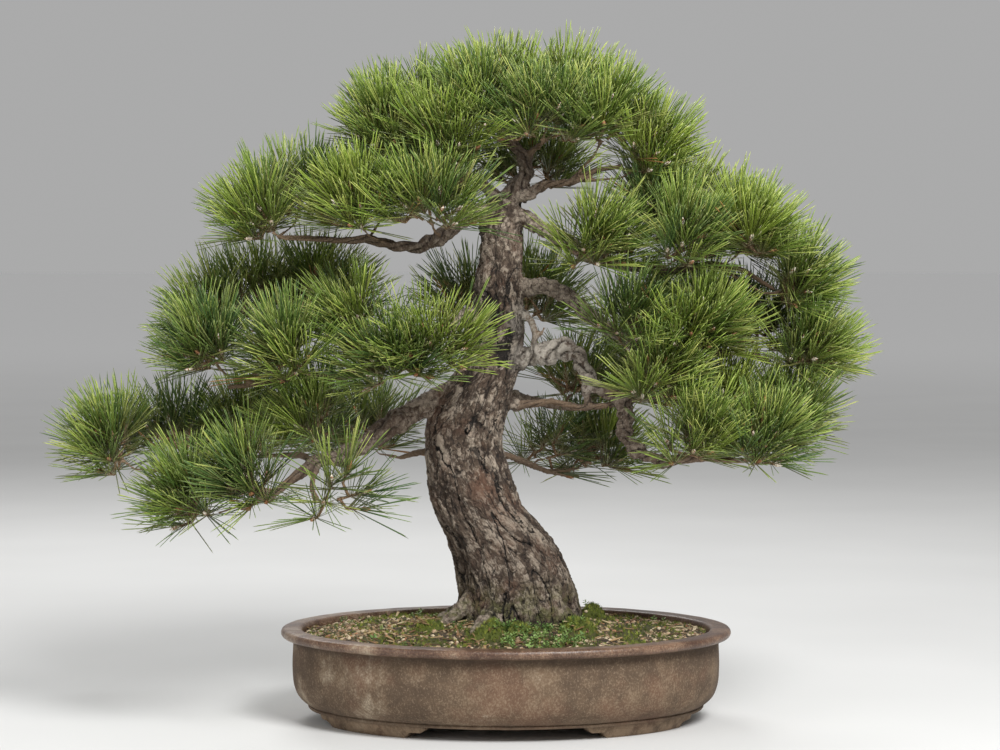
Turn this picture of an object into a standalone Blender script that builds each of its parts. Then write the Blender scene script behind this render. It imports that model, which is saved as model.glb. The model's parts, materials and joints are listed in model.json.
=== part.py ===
"""Italian stone pine bonsai in an oval stoneware pot.

The script works in metres with +Z up. The tree is laid out round the middle of the pot, with its
front towards -Y and the feet of the pot reaching 3 mm below z = 0. At the end everything hangs
from one empty, which stands it on z = 0 with the middle of the whole outline over the origin.

The pieces are the pot with its four feet, two drainage screens on its floor, the soil, the wood
(trunk, roots, branches and twigs, which grew as one) and the sprays of needles. A spray is a
short stem that forks into shoots. A shoot is a slim core whose every face is raised into a needle.
"""

import math
import random

import bmesh
import bpy
import numpy as np
from mathutils import Quaternion, Vector

MM = 0.001
CM = 0.01
UP = Vector((0, 0, 1))
GAP = 0.3 * MM

# The pot: the outer size over its lip, and its section as (inset from the lip's outline, height)
POT_LENGTH = 500 * MM
POT_DEPTH = 375 * MM
POT_POINTS = 40
POT_BODY_MM = [
    (31, 11), (30, 12.5), (30, 14.5), (32, 15), (26, 18), (18, 26), (13.5, 40), (12.5, 60), (14, 88.5),
]
POT_LIP_MM = [(4, 89.5), (0.8, 92), (0, 95), (1.2, 98.6), (4, 100), (20, 100), (23, 98.8), (24, 96)]
POT_INSIDE_MM = [(26, 30), (40, 20)]

# The two steps of a foot: its insets from the outline, its angles in degrees, and its heights
FOOT_STEPS = [((36, 66), (19, 67), (4, 13)), ((41, 60), (25, 61), (-3, 5))]
FOOT_POINTS = 7
DRAIN_X = 110 * MM
DRAIN_RADIUS = 14 * MM
SCREEN_SIZE = 44 * MM
SCREEN_THICKNESS = 1.2 * MM
SCREEN_CELLS = 5

# The soil: its section inside the pot, then the mound as (share of the way in, height)
SOIL_WALL_MM = [(41, 20), (26.4, 30.2), (24.6, 93)]
SOIL_MOUND_MM = [(0.10, 95.5), (0.36, 100.5), (0.66, 110)]
SOIL_LUMP = 1.2 * MM

# The trunk: middle and radius at each height, in centimetres
TRUNK_CM = [
    (1.4, 0.0, 8.0, 6.4), (1.5, 0.0, 10.8, 6.9), (1.4, 0.0, 13.5, 6.5), (0.7, 0.3, 16.5, 6.3),
    (-0.7, 0.6, 19.8, 5.9), (-3.2, 0.8, 23.3, 5.1), (-4.0, 0.4, 26.6, 4.7),
    (-4.6, 0.0, 30.1, 4.15), (-4.2, -0.6, 33.5, 4.1), (-2.6, -0.4, 37.5, 3.5), (-1.1, 0.0, 41.0, 2.9),
    (-0.8, 0.0, 44.3, 2.65), (-0.9, 0.1, 47.7, 2.75), (-0.6, 0.3, 50.0, 2.4), (-0.5, 0.5, 52.8, 2.3),
    (-0.6, 0.5, 55.6, 2.4), (-0.3, 0.5, 57.4, 1.7),
]
TRUNK_POINTS = 22
TRUNK_STEP = 21 * MM
BARK_RIDGES = 7
BARK_RELIEF = 0.05
TRUNK_FOOT = TRUNK_CM[1]

# The surface roots: compass angle in degrees from +X, how far out they reach, and their radius
ROOTS = [(-120, 10.6, 1.1), (-40, 9.4, 0.9), (70, 9.8, 1.0), (168, 10.2, 1.1)]

# The branches: radius at the foot and at the tip in millimetres, and the route in centimetres
BRANCHES = {
    "low_left": (13.5, 3.4, [
        (-5.0, 0.0, 36.5), (-8.0, -1.5, 35.0), (-11.5, -3.5, 33.5), (-14.5, -5.5, 31.3),
        (-17.5, -7.2, 29.6),
        (-20.5, -8.5, 29.0), (-23.0, -9.3, 27.2), (-25.0, -10.0, 25.6), (-28.5, -10.4, 24.0),
    ]),
    "low_left_inner": (6.0, 3.0, [
        (-20.5, -8.4, 29.0), (-22.5, -6.0, 29.6), (-25.5, -4.0, 29.3), (-29.0, -2.5, 29.0),
    ]),
    "low_left_outer": (6.0, 3.0, [
        (-25.0, -10.0, 25.6), (-28.5, -8.8, 26.3), (-32.5, -7.6, 26.9), (-36.5, -6.6, 27.8),
    ]),
    "low_left_drop": (5.0, 3.0, [(-20.5, -8.5, 28.8), (-20.9, -9.8, 26.4), (-20.4, -10.8, 24.6)]),
    "back_left": (8.0, 3.5, [(-3.5, 1.5, 29.0), (-8.5, 4.0, 29.3), (-12.0, 7.5, 28.2)]),
    "mid_left": (10.5, 3.4, [
        (-2.0, 0.0, 45.0), (-4.5, -1.0, 44.4), (-6.5, -2.0, 43.2), (-9.5, -3.5, 41.5),
        (-13.0, -4.8, 39.4),
        (-17.0, -5.5, 38.2), (-20.0, -5.0, 38.0), (-23.0, -5.0, 38.4), (-26.5, -4.5, 37.2),
        (-30.5, -4.0, 36.8),
    ]),
    "mid_left_upper": (5.5, 3.0, [
        (-13.0, -4.8, 39.6), (-17.0, -2.0, 41.0), (-21.5, 0.0, 42.5), (-26.0, 1.0, 43.5),
    ]),
    "upper_left": (11.0, 3.2, [
        (-0.6, 0.4, 55.3), (-3.4, -0.8, 56.0), (-5.2, -2.2, 54.8), (-7.0, -3.6, 53.3),
        (-9.5, -4.4, 52.1),
        (-12.0, -4.4, 52.2), (-15.0, -4.0, 53.0), (-18.0, -3.5, 52.8), (-21.5, -3.0, 53.1),
        (-25.0, -2.5, 53.2),
    ]),
    "top_left": (7.5, 3.2, [
        (-0.3, 0.5, 56.8), (-2.8, -0.2, 59.3), (-6.0, -0.4, 61.0), (-9.0, 0.0, 62.6), (-11.5, 0.0, 63.4),
    ]),
    "leader": (11.5, 4.2, [
        (-0.3, 0.5, 56.6), (1.2, 0.5, 58.6), (2.4, 0.4, 60.4), (1.8, 0.0, 62.4), (0.4, 0.0, 64.0),
        (-1.6, 0.0, 65.6),
    ]),
    "top_fork": (5.5, 3.4, [(2.0, 0.2, 61.8), (3.2, -0.8, 63.0), (4.6, -1.6, 64.0)]),
    "top_right": (8.0, 3.2, [
        (0.2, 0.4, 57.6), (2.6, -0.6, 58.0), (4.4, -1.2, 59.0), (7.0, -1.4, 59.2), (10.0, -1.4, 60.6),
        (12.8, -1.0, 61.0),
    ]),
    "upper_right": (11.0, 3.2, [
        (-0.4, 0.4, 55.6), (1.8, -0.2, 55.4), (3.8, -1.5, 54.3), (6.2, -3.0, 52.8), (9.5, -4.5, 51.0),
        (14.5, -5.0, 50.0), (17.5, -4.5, 49.4), (22.5, -4.0, 50.3), (26.0, -3.0, 49.6),
        (29.5, -2.6, 47.4),
    ]),
    "upper_right_back": (5.5, 3.0, [
        (9.0, -4.2, 51.3), (12.0, -1.5, 52.2), (15.5, 0.5, 53.0), (20.0, 1.0, 53.2),
    ]),
    "mid_right": (11.5, 3.4, [
        (-0.8, 0.0, 46.6), (1.8, -0.2, 47.6), (4.4, -1.5, 47.9), (6.6, -2.5, 46.8), (8.6, -3.0, 45.0),
        (11.5, -3.5, 43.0), (16.0, -3.0, 41.4), (21.5, -2.5, 40.9), (27.0, -2.2, 40.3),
        (29.0, -2.4, 39.7),
    ]),
    "gnarled_right": (13.0, 4.0, [
        (-1.8, 0.0, 39.0), (1.5, -0.6, 39.6), (3.8, -2.0, 40.6), (6.2, -3.0, 41.2), (7.9, -4.0, 40.3),
        (8.6, -5.0, 38.4), (9.6, -5.6, 37.0), (12.2, -6.0, 35.7), (15.5, -6.4, 35.9), (18.0, -6.2, 36.2),
        (20.2, -6.0, 34.8),
    ]),
    "low_right": (8.8, 3.4, [
        (12.2, -6.0, 35.7), (13.1, -6.6, 33.8), (12.6, -7.0, 32.0), (14.0, -7.5, 30.0),
        (16.8, -8.0, 29.0),
        (21.5, -8.4, 29.4), (25.5, -8.4, 29.1), (29.0, -8.0, 29.6),
    ]),
    "low_right_back": (5.0, 3.0, [
        (16.8, -8.0, 29.0), (20.0, -5.6, 29.6), (24.5, -4.0, 29.8), (27.0, -3.6, 30.2),
    ]),
    "thin_right": (6.5, 4.0, [
        (-2.5, 0.0, 35.2), (1.5, -0.8, 34.6), (5.0, -2.4, 35.2), (8.0, -4.0, 34.6), (12.3, -5.9, 35.2),
    ]),
    "back_right": (7.0, 3.4, [(-3.8, 1.0, 29.2), (0.5, 4.5, 28.6), (4.5, 9.0, 26.6), (8.5, 13.0, 25.6)]),
    "back_mid": (8.0, 3.4, [(-2.0, 0.5, 36.2), (2.5, 4.5, 35.0), (7.5, 9.0, 33.8), (12.5, 12.5, 33.8)]),
    "back_centre": (10.0, 3.6, [(-0.8, 0.5, 42.5), (-0.5, 4.5, 43.6), (-0.8, 9.0, 43.2),
                                (-0.6, 12.5, 43.2)]),
    "back_upper": (8.0, 3.4, [(-0.5, 0.5, 54.6), (0.5, 4.5, 56.4), (1.0, 8.5, 57.0), (0.5, 11.0, 57.6)]),
    "dead_twig": (4.0, 1.8, [(1.0, -0.2, 45.6), (2.2, -1.8, 44.4), (3.2, -3.0, 43.6), (3.2, -3.4, 42.0)]),
}
BRANCH_STEP = 30 * MM
THICK_BRANCH_MM = 7
KNOT_SWELL = 0.16

# The sprays of each branch: the middle of the tuft in centimetres, and how many shoots it has
SPRAYS = {
    "low_left": [(-35.0, -10.5, 24.5, 3), (-28.5, -13.5, 26.5, 3), (-22.5, -4.0, 33.0, 3)],
    "low_left_outer": [(-44.0, -6.0, 30.5, 3), (-36.5, -0.5, 31.5, 2)],
    "low_left_inner": [(-29.5, 4.0, 31.5, 3)],
    "low_left_drop": [(-17.5, -15.5, 25.5, 2)],
    "back_left": [(-17.0, 13.0, 31.0, 3)],
    "mid_left": [(-13.5, -10.5, 39.0, 3), (-7.5, -11.0, 40.8, 2), (-25.0, -9.5, 40.5, 3),
                 (-33.5, -6.0, 41.0, 3), (-17.5, -6.0, 44.0, 2)],
    "mid_left_upper": [(-34.0, 2.0, 43.5, 3), (-28.0, 7.5, 46.0, 3), (-20.5, 7.0, 47.0, 3)],
    "upper_left": [(-28.0, -4.0, 55.0, 3), (-22.5, 4.0, 57.5, 3), (-17.5, -7.0, 56.5, 3),
                   (-8.5, -10.0, 56.5, 3), (-13.0, 7.5, 58.5, 3)],
    "top_left": [(-14.5, -1.0, 64.5, 3), (-8.5, 6.5, 66.5, 3), (-8.0, -5.5, 63.5, 3)],
    "leader": [(-4.0, -2.5, 67.5, 3), (-0.5, 5.5, 68.9, 3)],
    "top_fork": [(4.5, -6.5, 65.5, 3), (6.5, 4.0, 68.3, 3)],
    "top_right": [(11.5, -4.0, 66.0, 3), (16.5, -2.0, 62.0, 3)],
    "upper_right": [(10.5, -8.5, 51.5, 3), (20.5, -8.5, 52.5, 3), (27.5, -5.5, 53.0, 3),
                    (32.5, -3.5, 47.0, 3)],
    "upper_right_back": [(17.5, -1.5, 56.0, 3), (20.5, 8.5, 56.0, 3), (26.5, 5.0, 53.0, 3)],
    "mid_right": [(14.5, -7.5, 43.0, 3), (22.0, -8.0, 43.0, 3), (20.5, 7.0, 44.5, 3),
                  (28.5, 4.5, 42.5, 3), (34.0, -4.5, 40.0, 3)],
    "gnarled_right": [(17.5, -10.0, 37.5, 3)],
    "low_right": [(21.5, -11.5, 31.0, 3), (28.5, -11.0, 31.0, 3)],
    "low_right_back": [(24.5, -3.0, 35.0, 2), (32.0, -4.5, 33.5, 3)],
    "back_right": [(5.0, 13.0, 28.5, 2), (11.0, 16.0, 28.5, 3)],
    "back_mid": [(8.5, 13.5, 36.5, 2), (16.5, 15.5, 36.5, 3)],
    "back_centre": [(-4.0, 14.5, 45.5, 2), (3.5, 16.0, 45.5, 3)],
    "back_upper": [(-6.0, 12.0, 59.5, 2), (3.5, 14.0, 61.0, 3)],
}
TWIG_RADIUS = 2.5 * MM
TWIG_REACH = 72 * MM
TWIG_LIFT = 0.3
TUFT_BACK = 32 * MM
STEM_LENGTH = 12 * MM
FORK_SPREAD = {2: [(-30, 0), (30, 4)], 3: [(2, 24), (-50, 0), (52, -2)]}
FORK_JITTER = 7

# The shoots: a bare stalk, then bands of faces that are each raised into a needle
STEM_RADIUS = 2.6 * MM
STALK_LENGTH = 28 * MM
STALK_RADIUS = 1.5 * MM
CORE_SIDES = 3
CORE_RADII_MM = [1.9, 2.4, 2.1]
CORE_BAND = 6.5 * MM
CORE_TIP = 5 * MM
NEEDLE_LENGTH = 61 * MM
NEEDLE_SHORTEST = 0.86
NEEDLE_RADIUS = 2.9 * MM
SPREAD_FOOT = 90
SPREAD_CHANGE = 80
SPREAD_POWER = 0.85
NEEDLE_LIFT = 0.34
NEEDLE_JITTER = 4
NEEDLE_TRIES = [1.0] * 8 + [0.8] * 4 + [0.6] * 4 + [0.42] * 3
NEEDLE_CLEAR = 0.9 * MM
OWN_SHARE = 0.25
SEED = 11

COLOURS = {
    "stoneware": ((0.13, 0.085, 0.055), 0.75),
    "plastic_mesh": ((0.02, 0.02, 0.02), 0.5),
    "gravelly_soil": ((0.16, 0.12, 0.07), 0.95),
    "pine_bark": ((0.17, 0.12, 0.085), 0.9),
    "pine_needles": ((0.12, 0.24, 0.06), 0.55),
}


def make_material(name):
    colour, roughness = COLOURS[name]
    material = bpy.data.materials.new(name)
    material.use_nodes = True
    shader = material.node_tree.nodes["Principled BSDF"]
    shader.inputs["Base Color"].default_value = (*colour, 1)
    shader.inputs["Roughness"].default_value = roughness
    shader.inputs["Metallic"].default_value = 0
    return material


def make_object(name, mesh):
    """An object that is in no collection yet."""
    return bpy.data.objects.new(name, mesh)


def loft(name, rings):
    """A closed solid through rings with equal counts of points, its sides split along one diagonal."""
    shape = bmesh.new()
    rows = [[shape.verts.new(point) for point in ring] for ring in rings]
    sides = []
    for row, following in zip(rows, rows[1:]):
        for i in range(len(row)):
            j = (i + 1) % len(row)
            sides.append(shape.faces.new((row[i], row[j], following[j], following[i])))
    shape.faces.new(list(reversed(rows[0])))
    shape.faces.new(rows[-1])
    bmesh.ops.triangulate(shape, faces=sides, quad_method="FIXED")
    bmesh.ops.recalc_face_normals(shape, faces=shape.faces[:])
    mesh = bpy.data.meshes.new(name)
    shape.to_mesh(mesh)
    shape.free()
    return make_object(name, mesh)


def smooth_route(points, step):
    """Points about a step apart along a smooth curve through the given ones."""
    ends = [2 * points[0] - points[1], *points, 2 * points[-1] - points[-2]]
    route = []
    for before, start, end, after in zip(ends, ends[1:], ends[2:], ends[3:]):
        count = max(1, round((end - start).length / step))
        for i in range(count):
            t = i / count
            bend = 3 * (start - end) + after - before
            hollow = 2 * before - 5 * start + 4 * end - after
            route.append(start + 0.5 * t * (end - before + t * (hollow + t * bend)))
    return route + [points[-1]]


def tube(name, points, radii):
    """A closed mesh tube, from a curve whose bevel gives four sides, or six where it is thick."""
    scene = bpy.context.scene
    curve = bpy.data.curves.new(name, "CURVE")
    curve.dimensions = "3D"
    curve.bevel_depth = 1
    curve.bevel_resolution = 1 if radii[0] > THICK_BRANCH_MM * MM else 0
    curve.use_fill_caps = True
    spline = curve.splines.new("POLY")
    spline.points.add(len(points) - 1)
    for knot, point, radius in zip(spline.points, points, radii):
        knot.co = (*point, 1)
        knot.radius = radius
    source = bpy.data.objects.new(name, curve)
    scene.collection.objects.link(source)
    graph = bpy.context.evaluated_depsgraph_get()
    mesh = bpy.data.meshes.new_from_object(source.evaluated_get(graph))
    bpy.data.objects.remove(source)
    bpy.data.curves.remove(curve)
    shape = bmesh.new()
    shape.from_mesh(mesh)
    bmesh.ops.remove_doubles(shape, verts=shape.verts[:], dist=0.01 * MM)
    bmesh.ops.recalc_face_normals(shape, faces=shape.faces[:])
    shape.to_mesh(mesh)
    shape.free()
    return make_object(name, mesh)


def combine(base, pieces, operation="UNION"):
    """Apply one Boolean between an object and a whole collection, which is then removed."""
    scene = bpy.context.scene
    group = bpy.data.collections.new(base.name + "_pieces")
    scene.collection.children.link(group)
    scene.collection.objects.link(base)
    for piece in pieces:
        group.objects.link(piece)
    modifier = base.modifiers.new("combine", "BOOLEAN")
    modifier.operation = operation
    modifier.operand_type = "COLLECTION"
    modifier.collection = group
    graph = bpy.context.evaluated_depsgraph_get()
    mesh = bpy.data.meshes.new_from_object(base.evaluated_get(graph))
    base.modifiers.clear()
    base.data = mesh
    for piece in pieces:
        bpy.data.objects.remove(piece)
    bpy.data.collections.remove(group)
    scene.collection.objects.unlink(base)
    return base


def finish(thing, material, parent, collection):
    thing.data.materials.clear()
    thing.data.materials.append(material)
    thing.data.shade_smooth()
    thing.data.set_sharp_from_angle(angle=math.radians(35))
    thing.parent = parent
    collection.objects.link(thing)
    return thing


def box(name, size, middle):
    shape = bmesh.new()
    bmesh.ops.create_cube(shape, size=1)
    for vert in shape.verts:
        vert.co = Vector(c * s for c, s in zip(vert.co, size)) + middle
    mesh = bpy.data.meshes.new(name)
    shape.to_mesh(mesh)
    shape.free()
    return make_object(name, mesh)


def rod(name, radius, low, high, x, points=20):
    shape = bmesh.new()
    bmesh.ops.create_cone(
        shape, cap_ends=True, segments=points, radius1=radius, radius2=radius, depth=high - low
    )
    bmesh.ops.translate(shape, verts=shape.verts[:], vec=(x, 0, (low + high) / 2))
    mesh = bpy.data.meshes.new(name)
    shape.to_mesh(mesh)
    shape.free()
    return make_object(name, mesh)


# The pot, its drainage screens and the soil


def oval_point(angle, inset, height):
    """A point of the pot's oval, moved inwards along the oval's own normal."""
    half_length, half_depth = POT_LENGTH / 2, POT_DEPTH / 2
    outwards = Vector((math.cos(angle) / half_length, math.sin(angle) / half_depth, 0)).normalized()
    rim = Vector((half_length * math.cos(angle), half_depth * math.sin(angle), height))
    return rim - inset * outwards


def oval_ring(inset, height):
    return [oval_point(math.tau * i / POT_POINTS, inset, height) for i in range(POT_POINTS)]


def make_foot(name, quarter, step):
    """One step of a foot: a bent bar under the edge of the pot's underside."""
    insets, angles, heights = step
    (outer, inner), (low, high) = insets, heights
    section = [(outer, low), (outer, high), (inner, high), (inner, low)]
    rings = []
    for i in range(FOOT_POINTS):
        share = i / (FOOT_POINTS - 1)
        angle = math.radians(angles[0] + share * (angles[1] - angles[0]))
        ring = [oval_point(angle, inset * MM, height * MM) for inset, height in section]
        rings.append([Vector((p.x * quarter[0], p.y * quarter[1], p.z)) for p in ring])
    return loft(name, rings)


def make_pot():
    profile = POT_BODY_MM + POT_LIP_MM + POT_INSIDE_MM
    pot = loft("pot", [oval_ring(inset * MM, height * MM) for inset, height in profile])
    quarters = [(1, -1), (-1, -1), (1, 1), (-1, 1)]
    feet = [make_foot("foot", quarter, step) for quarter in quarters for step in FOOT_STEPS]
    combine(pot, feet)
    drains = [rod("drain", DRAIN_RADIUS, 0, 40 * MM, side * DRAIN_X) for side in (-1, 1)]
    return combine(pot, drains, "DIFFERENCE")


def screen_middle(side):
    floor = POT_INSIDE_MM[-1][1] * MM
    return Vector((side * DRAIN_X, 0, floor + GAP + SCREEN_THICKNESS / 2))


def make_screen(name, side):
    """A square of drainage mesh: a grid with every other cell open, given its thickness."""
    shape = bmesh.new()
    bmesh.ops.create_grid(
        shape, x_segments=SCREEN_CELLS, y_segments=SCREEN_CELLS, size=SCREEN_SIZE / 2
    )
    cell = SCREEN_SIZE / SCREEN_CELLS
    openings = []
    for face in shape.faces:
        middle = face.calc_center_median()
        column, row = (round(c / cell) for c in middle.xy)
        if column % 2 and row % 2:
            openings.append(face)
    bmesh.ops.delete(shape, geom=openings, context="FACES")
    bmesh.ops.translate(shape, verts=shape.verts[:], vec=screen_middle(side))
    mesh = bpy.data.meshes.new(name)
    shape.to_mesh(mesh)
    shape.free()
    screen = make_object(name, mesh)
    thickness = screen.modifiers.new("thickness", "SOLIDIFY")
    thickness.thickness = SCREEN_THICKNESS
    thickness.offset = 0
    return screen


def soil_ring(inward, height):
    """A ring of the mound, lumpy by a formula, that closes in on the middle of the trunk."""
    trunk = Vector((TRUNK_FOOT[0] * CM, TRUNK_FOOT[1] * CM, 0))
    ring = []
    for i, edge in enumerate(oval_ring(SOIL_WALL_MM[-1][0] * MM, 0)):
        angle = math.tau * i / POT_POINTS
        lump = SOIL_LUMP * (math.sin(5 * angle + 21 * inward) + math.sin(9 * angle - 13 * inward))
        point = edge.lerp(trunk, inward)
        ring.append(Vector((point.x, point.y, height + lump)))
    return ring


def make_soil(wood_foot):
    wall = [oval_ring(inset * MM, height * MM) for inset, height in SOIL_WALL_MM]
    wall[0] = [point + UP * GAP for point in wall[0]]
    mound = [soil_ring(inward, height * MM) for inward, height in SOIL_MOUND_MM]
    soil = loft("soil", wall + mound)
    pocket = SCREEN_THICKNESS + 2 * GAP
    size = (SCREEN_SIZE + 2 * GAP, SCREEN_SIZE + 2 * GAP, 2 * pocket)
    floor = POT_INSIDE_MM[-1][1] * MM
    pockets = [box("pocket", size, Vector((side * DRAIN_X, 0, floor))) for side in (-1, 1)]
    return combine(soil, wood_foot + pockets, "DIFFERENCE")


# The wood


def trunk_ring(middle, radius, grow):
    """A level ring of the trunk, with ridges of bark that wander as they rise."""
    ring = []
    for i in range(TRUNK_POINTS):
        angle = math.tau * i / TRUNK_POINTS
        wander = 1.1 * math.sin(middle.z / (38 * MM)) + middle.z / (160 * MM)
        ridge = abs(math.sin(BARK_RIDGES / 2 * angle + wander)) - 0.6
        swell = 0.5 * math.sin(2 * angle + middle.z / (45 * MM))
        out = radius * (1 + BARK_RELIEF * (ridge + swell)) + grow
        ring.append(middle + out * Vector((math.cos(angle), math.sin(angle), 0)))
    return ring


def make_trunk(grow=0.0, top=len(TRUNK_CM)):
    """The whole trunk, or its lowest stations grown a little, as a cutter for the soil."""
    stations = [Vector((x, y, z, radius)) * CM for x, y, z, radius in TRUNK_CM[:top]]
    rings = [trunk_ring(station.xyz, station.w, grow) for station in smooth_route(stations, TRUNK_STEP)]
    if grow:
        rings[0] = [point - UP * grow for point in rings[0]]
    return loft("wood", rings)


def root_route(angle, reach):
    """A root leaves the foot of the trunk, runs out and dives under the soil."""
    foot = Vector(TRUNK_FOOT[:2]) * CM
    along = Vector((math.cos(math.radians(angle)), math.sin(math.radians(angle))))
    places = [(4.0, 13.2), (6.6, 11.5), (reach - 1.4, 10.4), (reach, 9.0)]
    return [Vector((*(foot + along * out * CM), height * CM)) for out, height in places]


def make_roots(grow=0.0):
    roots = []
    for angle, reach, radius in ROOTS:
        radii = [radius * share * CM + grow for share in (1.3, 1.15, 0.8, 0.45)]
        route = root_route(angle, reach)
        if grow:
            route[-1] = route[-1] + (route[-1] - route[-2]).normalized() * grow
        roots.append(tube("root", route, radii))
    return roots


def branch_shape(name):
    """The smooth route of a branch and its radius at each point, swollen at the old knots."""
    foot, tip, places = BRANCHES[name]
    route = smooth_route([Vector(place) * CM for place in places], BRANCH_STEP)
    radii = []
    for i in range(len(route)):
        share = i / (len(route) - 1)
        knot = 1 + KNOT_SWELL * math.sin(2.4 * i) * (1 - share)
        radii.append((foot + (tip - foot) * share**0.8) * knot * MM)
    return route, radii


def turn_towards(direction, sideways, upwards):
    """Swing a direction by two angles: to its side, and up."""
    side = direction.cross(UP).normalized()
    above = side.cross(direction).normalized()
    swung = Quaternion(above, math.radians(sideways)) @ direction
    return Quaternion(side, math.radians(upwards)) @ swung


class Spray:
    """Where one spray's twig leaves its branch, where it forks, and the shoots that it forks into."""

    def __init__(self, name, branch, place, shoots, dice):
        self.name = name
        tuft = Vector(place) * CM
        route = branch_shape(branch)[0]
        nearest = min(range(len(route)), key=lambda i: (route[i] - tuft).length)
        while nearest > 1 and (route[nearest] - tuft).length < TWIG_REACH:
            nearest -= 1
        self.root = route[nearest]
        lean = (tuft - self.root).normalized() + TWIG_LIFT * UP
        self.direction = lean.normalized()
        self.fork = tuft - TUFT_BACK * self.direction
        self.foot = self.fork - STEM_LENGTH * self.direction
        self.twig = (self.foot - self.root).normalized()
        self.shoots = []
        for sideways, upwards in FORK_SPREAD[shoots]:
            swing = sideways + dice.uniform(-FORK_JITTER, FORK_JITTER)
            rise = upwards + dice.uniform(-FORK_JITTER, FORK_JITTER)
            self.shoots.append(turn_towards(self.direction, swing, rise))

    def core_ends(self, shoot):
        start = self.fork + shoot * STALK_LENGTH
        length = CORE_BAND * (len(CORE_RADII_MM) - 1) + CORE_TIP
        return start, start + shoot * length


def plan_sprays():
    dice = random.Random(SEED)
    sprays = []
    for branch, places in SPRAYS.items():
        for number, (*place, shoots) in enumerate(places, 1):
            sprays.append(Spray(f"spray_{branch}_{number}", branch, place, shoots, dice))
    return sprays


def make_wood(sprays):
    pieces = make_roots()
    for name in BRANCHES:
        route, radii = branch_shape(name)
        pieces.append(tube(name, route, radii))
    for spray in sprays:
        pieces.append(tube("twig", [spray.root, spray.foot], [TWIG_RADIUS * 1.3, TWIG_RADIUS]))
    return combine(make_trunk(), pieces)


# The needles


class Room:
    """Tapered rods that are already in place, for keeping new needles clear of them."""

    def __init__(self):
        self.owners = []
        self.rods = np.zeros((0, 8))

    def add(self, owner, start, end, start_radius, end_radius):
        self.owners.append(owner)
        self.rods = np.vstack([self.rods, (*start, *end, start_radius, end_radius)])

    def without(self, owner):
        """The same room as one shoot sees it, without its own core and stalk."""
        kept = [other != owner for other in self.owners]
        room = Room()
        room.owners = [other for other in self.owners if other != owner]
        room.rods = self.rods[kept]
        return room

    def is_clear(self, start, end, radius, own=0.0):
        """Whether a needle keeps clear of the rods, past its own first share."""
        base, tip = np.array(start), np.array(end)
        line, lines = tip - base, self.rods[:, 3:6] - self.rods[:, :3]
        between = base - self.rods[:, :3]
        a, c = line @ line, np.einsum("ij,ij->i", lines, lines)
        b, d, e = lines @ line, between @ line, np.einsum("ij,ij->i", lines, between)
        area = np.maximum(a * c - b * b, 1e-16)
        along = np.clip((b * e - c * d) / area, 0, 1)
        across = np.clip((b * along + e) / c, 0, 1)
        along = np.clip((b * across - d) / a, 0, 1)
        apart = np.linalg.norm(between + along[:, None] * line - across[:, None] * lines, axis=1)
        thick = radius * (1 - along) + self.rods[:, 6] + (self.rods[:, 7] - self.rods[:, 6]) * across
        touching = (apart < thick + NEEDLE_CLEAR) & (along >= own)
        return not touching.any()


def fill_room(sprays):
    """A room with the trunk, branches, twigs, stems, stalks and cores, as rods."""
    room = Room()
    stations = [Vector(station) * CM for station in TRUNK_CM]
    for low, high in zip(stations, stations[1:]):
        room.add("trunk", low.xyz, high.xyz, low.w, high.w)
    for name in BRANCHES:
        route, radii = branch_shape(name)
        for i in range(len(route) - 1):
            room.add(name, route[i], route[i + 1], radii[i], radii[i + 1])
    for spray in sprays:
        room.add("twig", spray.root, spray.foot, TWIG_RADIUS * 1.3, TWIG_RADIUS)
        room.add("stem", spray.foot, spray.fork, TWIG_RADIUS, STEM_RADIUS)
        for number, shoot in enumerate(spray.shoots):
            start, end = spray.core_ends(shoot)
            owner = (spray.name, number)
            room.add(owner, spray.fork, start, STEM_RADIUS, STALK_RADIUS)
            room.add(owner, start, end, NEEDLE_RADIUS, NEEDLE_RADIUS)
    return room


def needle_direction(middle, start, axis, length):
    """Needles stand out sideways at a core's foot and close in on its axis towards the tip."""
    height = (middle - start).dot(axis)
    share = min(max(height / length, 0), 1)
    spread = math.radians(SPREAD_FOOT - SPREAD_CHANGE * share**SPREAD_POWER)
    outwards = (middle - start - height * axis).normalized()
    return (math.cos(spread) * axis + math.sin(spread) * outwards + NEEDLE_LIFT * UP).normalized()


def needle_tip(middle, direction, others, own, dice):
    """The tip of a needle that keeps clear of the rest, bent or shortened where it must."""
    length = NEEDLE_LENGTH * dice.uniform(NEEDLE_SHORTEST, 1)
    for shortening in NEEDLE_TRIES:
        side = direction.orthogonal().normalized()
        side.rotate(Quaternion(direction, dice.uniform(0, math.tau)))
        bend = math.radians(NEEDLE_JITTER * math.sqrt(dice.random()))
        bent = math.cos(bend) * direction + math.sin(bend) * side
        tip = middle + length * shortening * bent
        if not others.is_clear(middle, tip, NEEDLE_RADIUS):
            continue
        if own.is_clear(middle, tip, NEEDLE_RADIUS, own=OWN_SHARE):
            return tip
    return None


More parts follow.
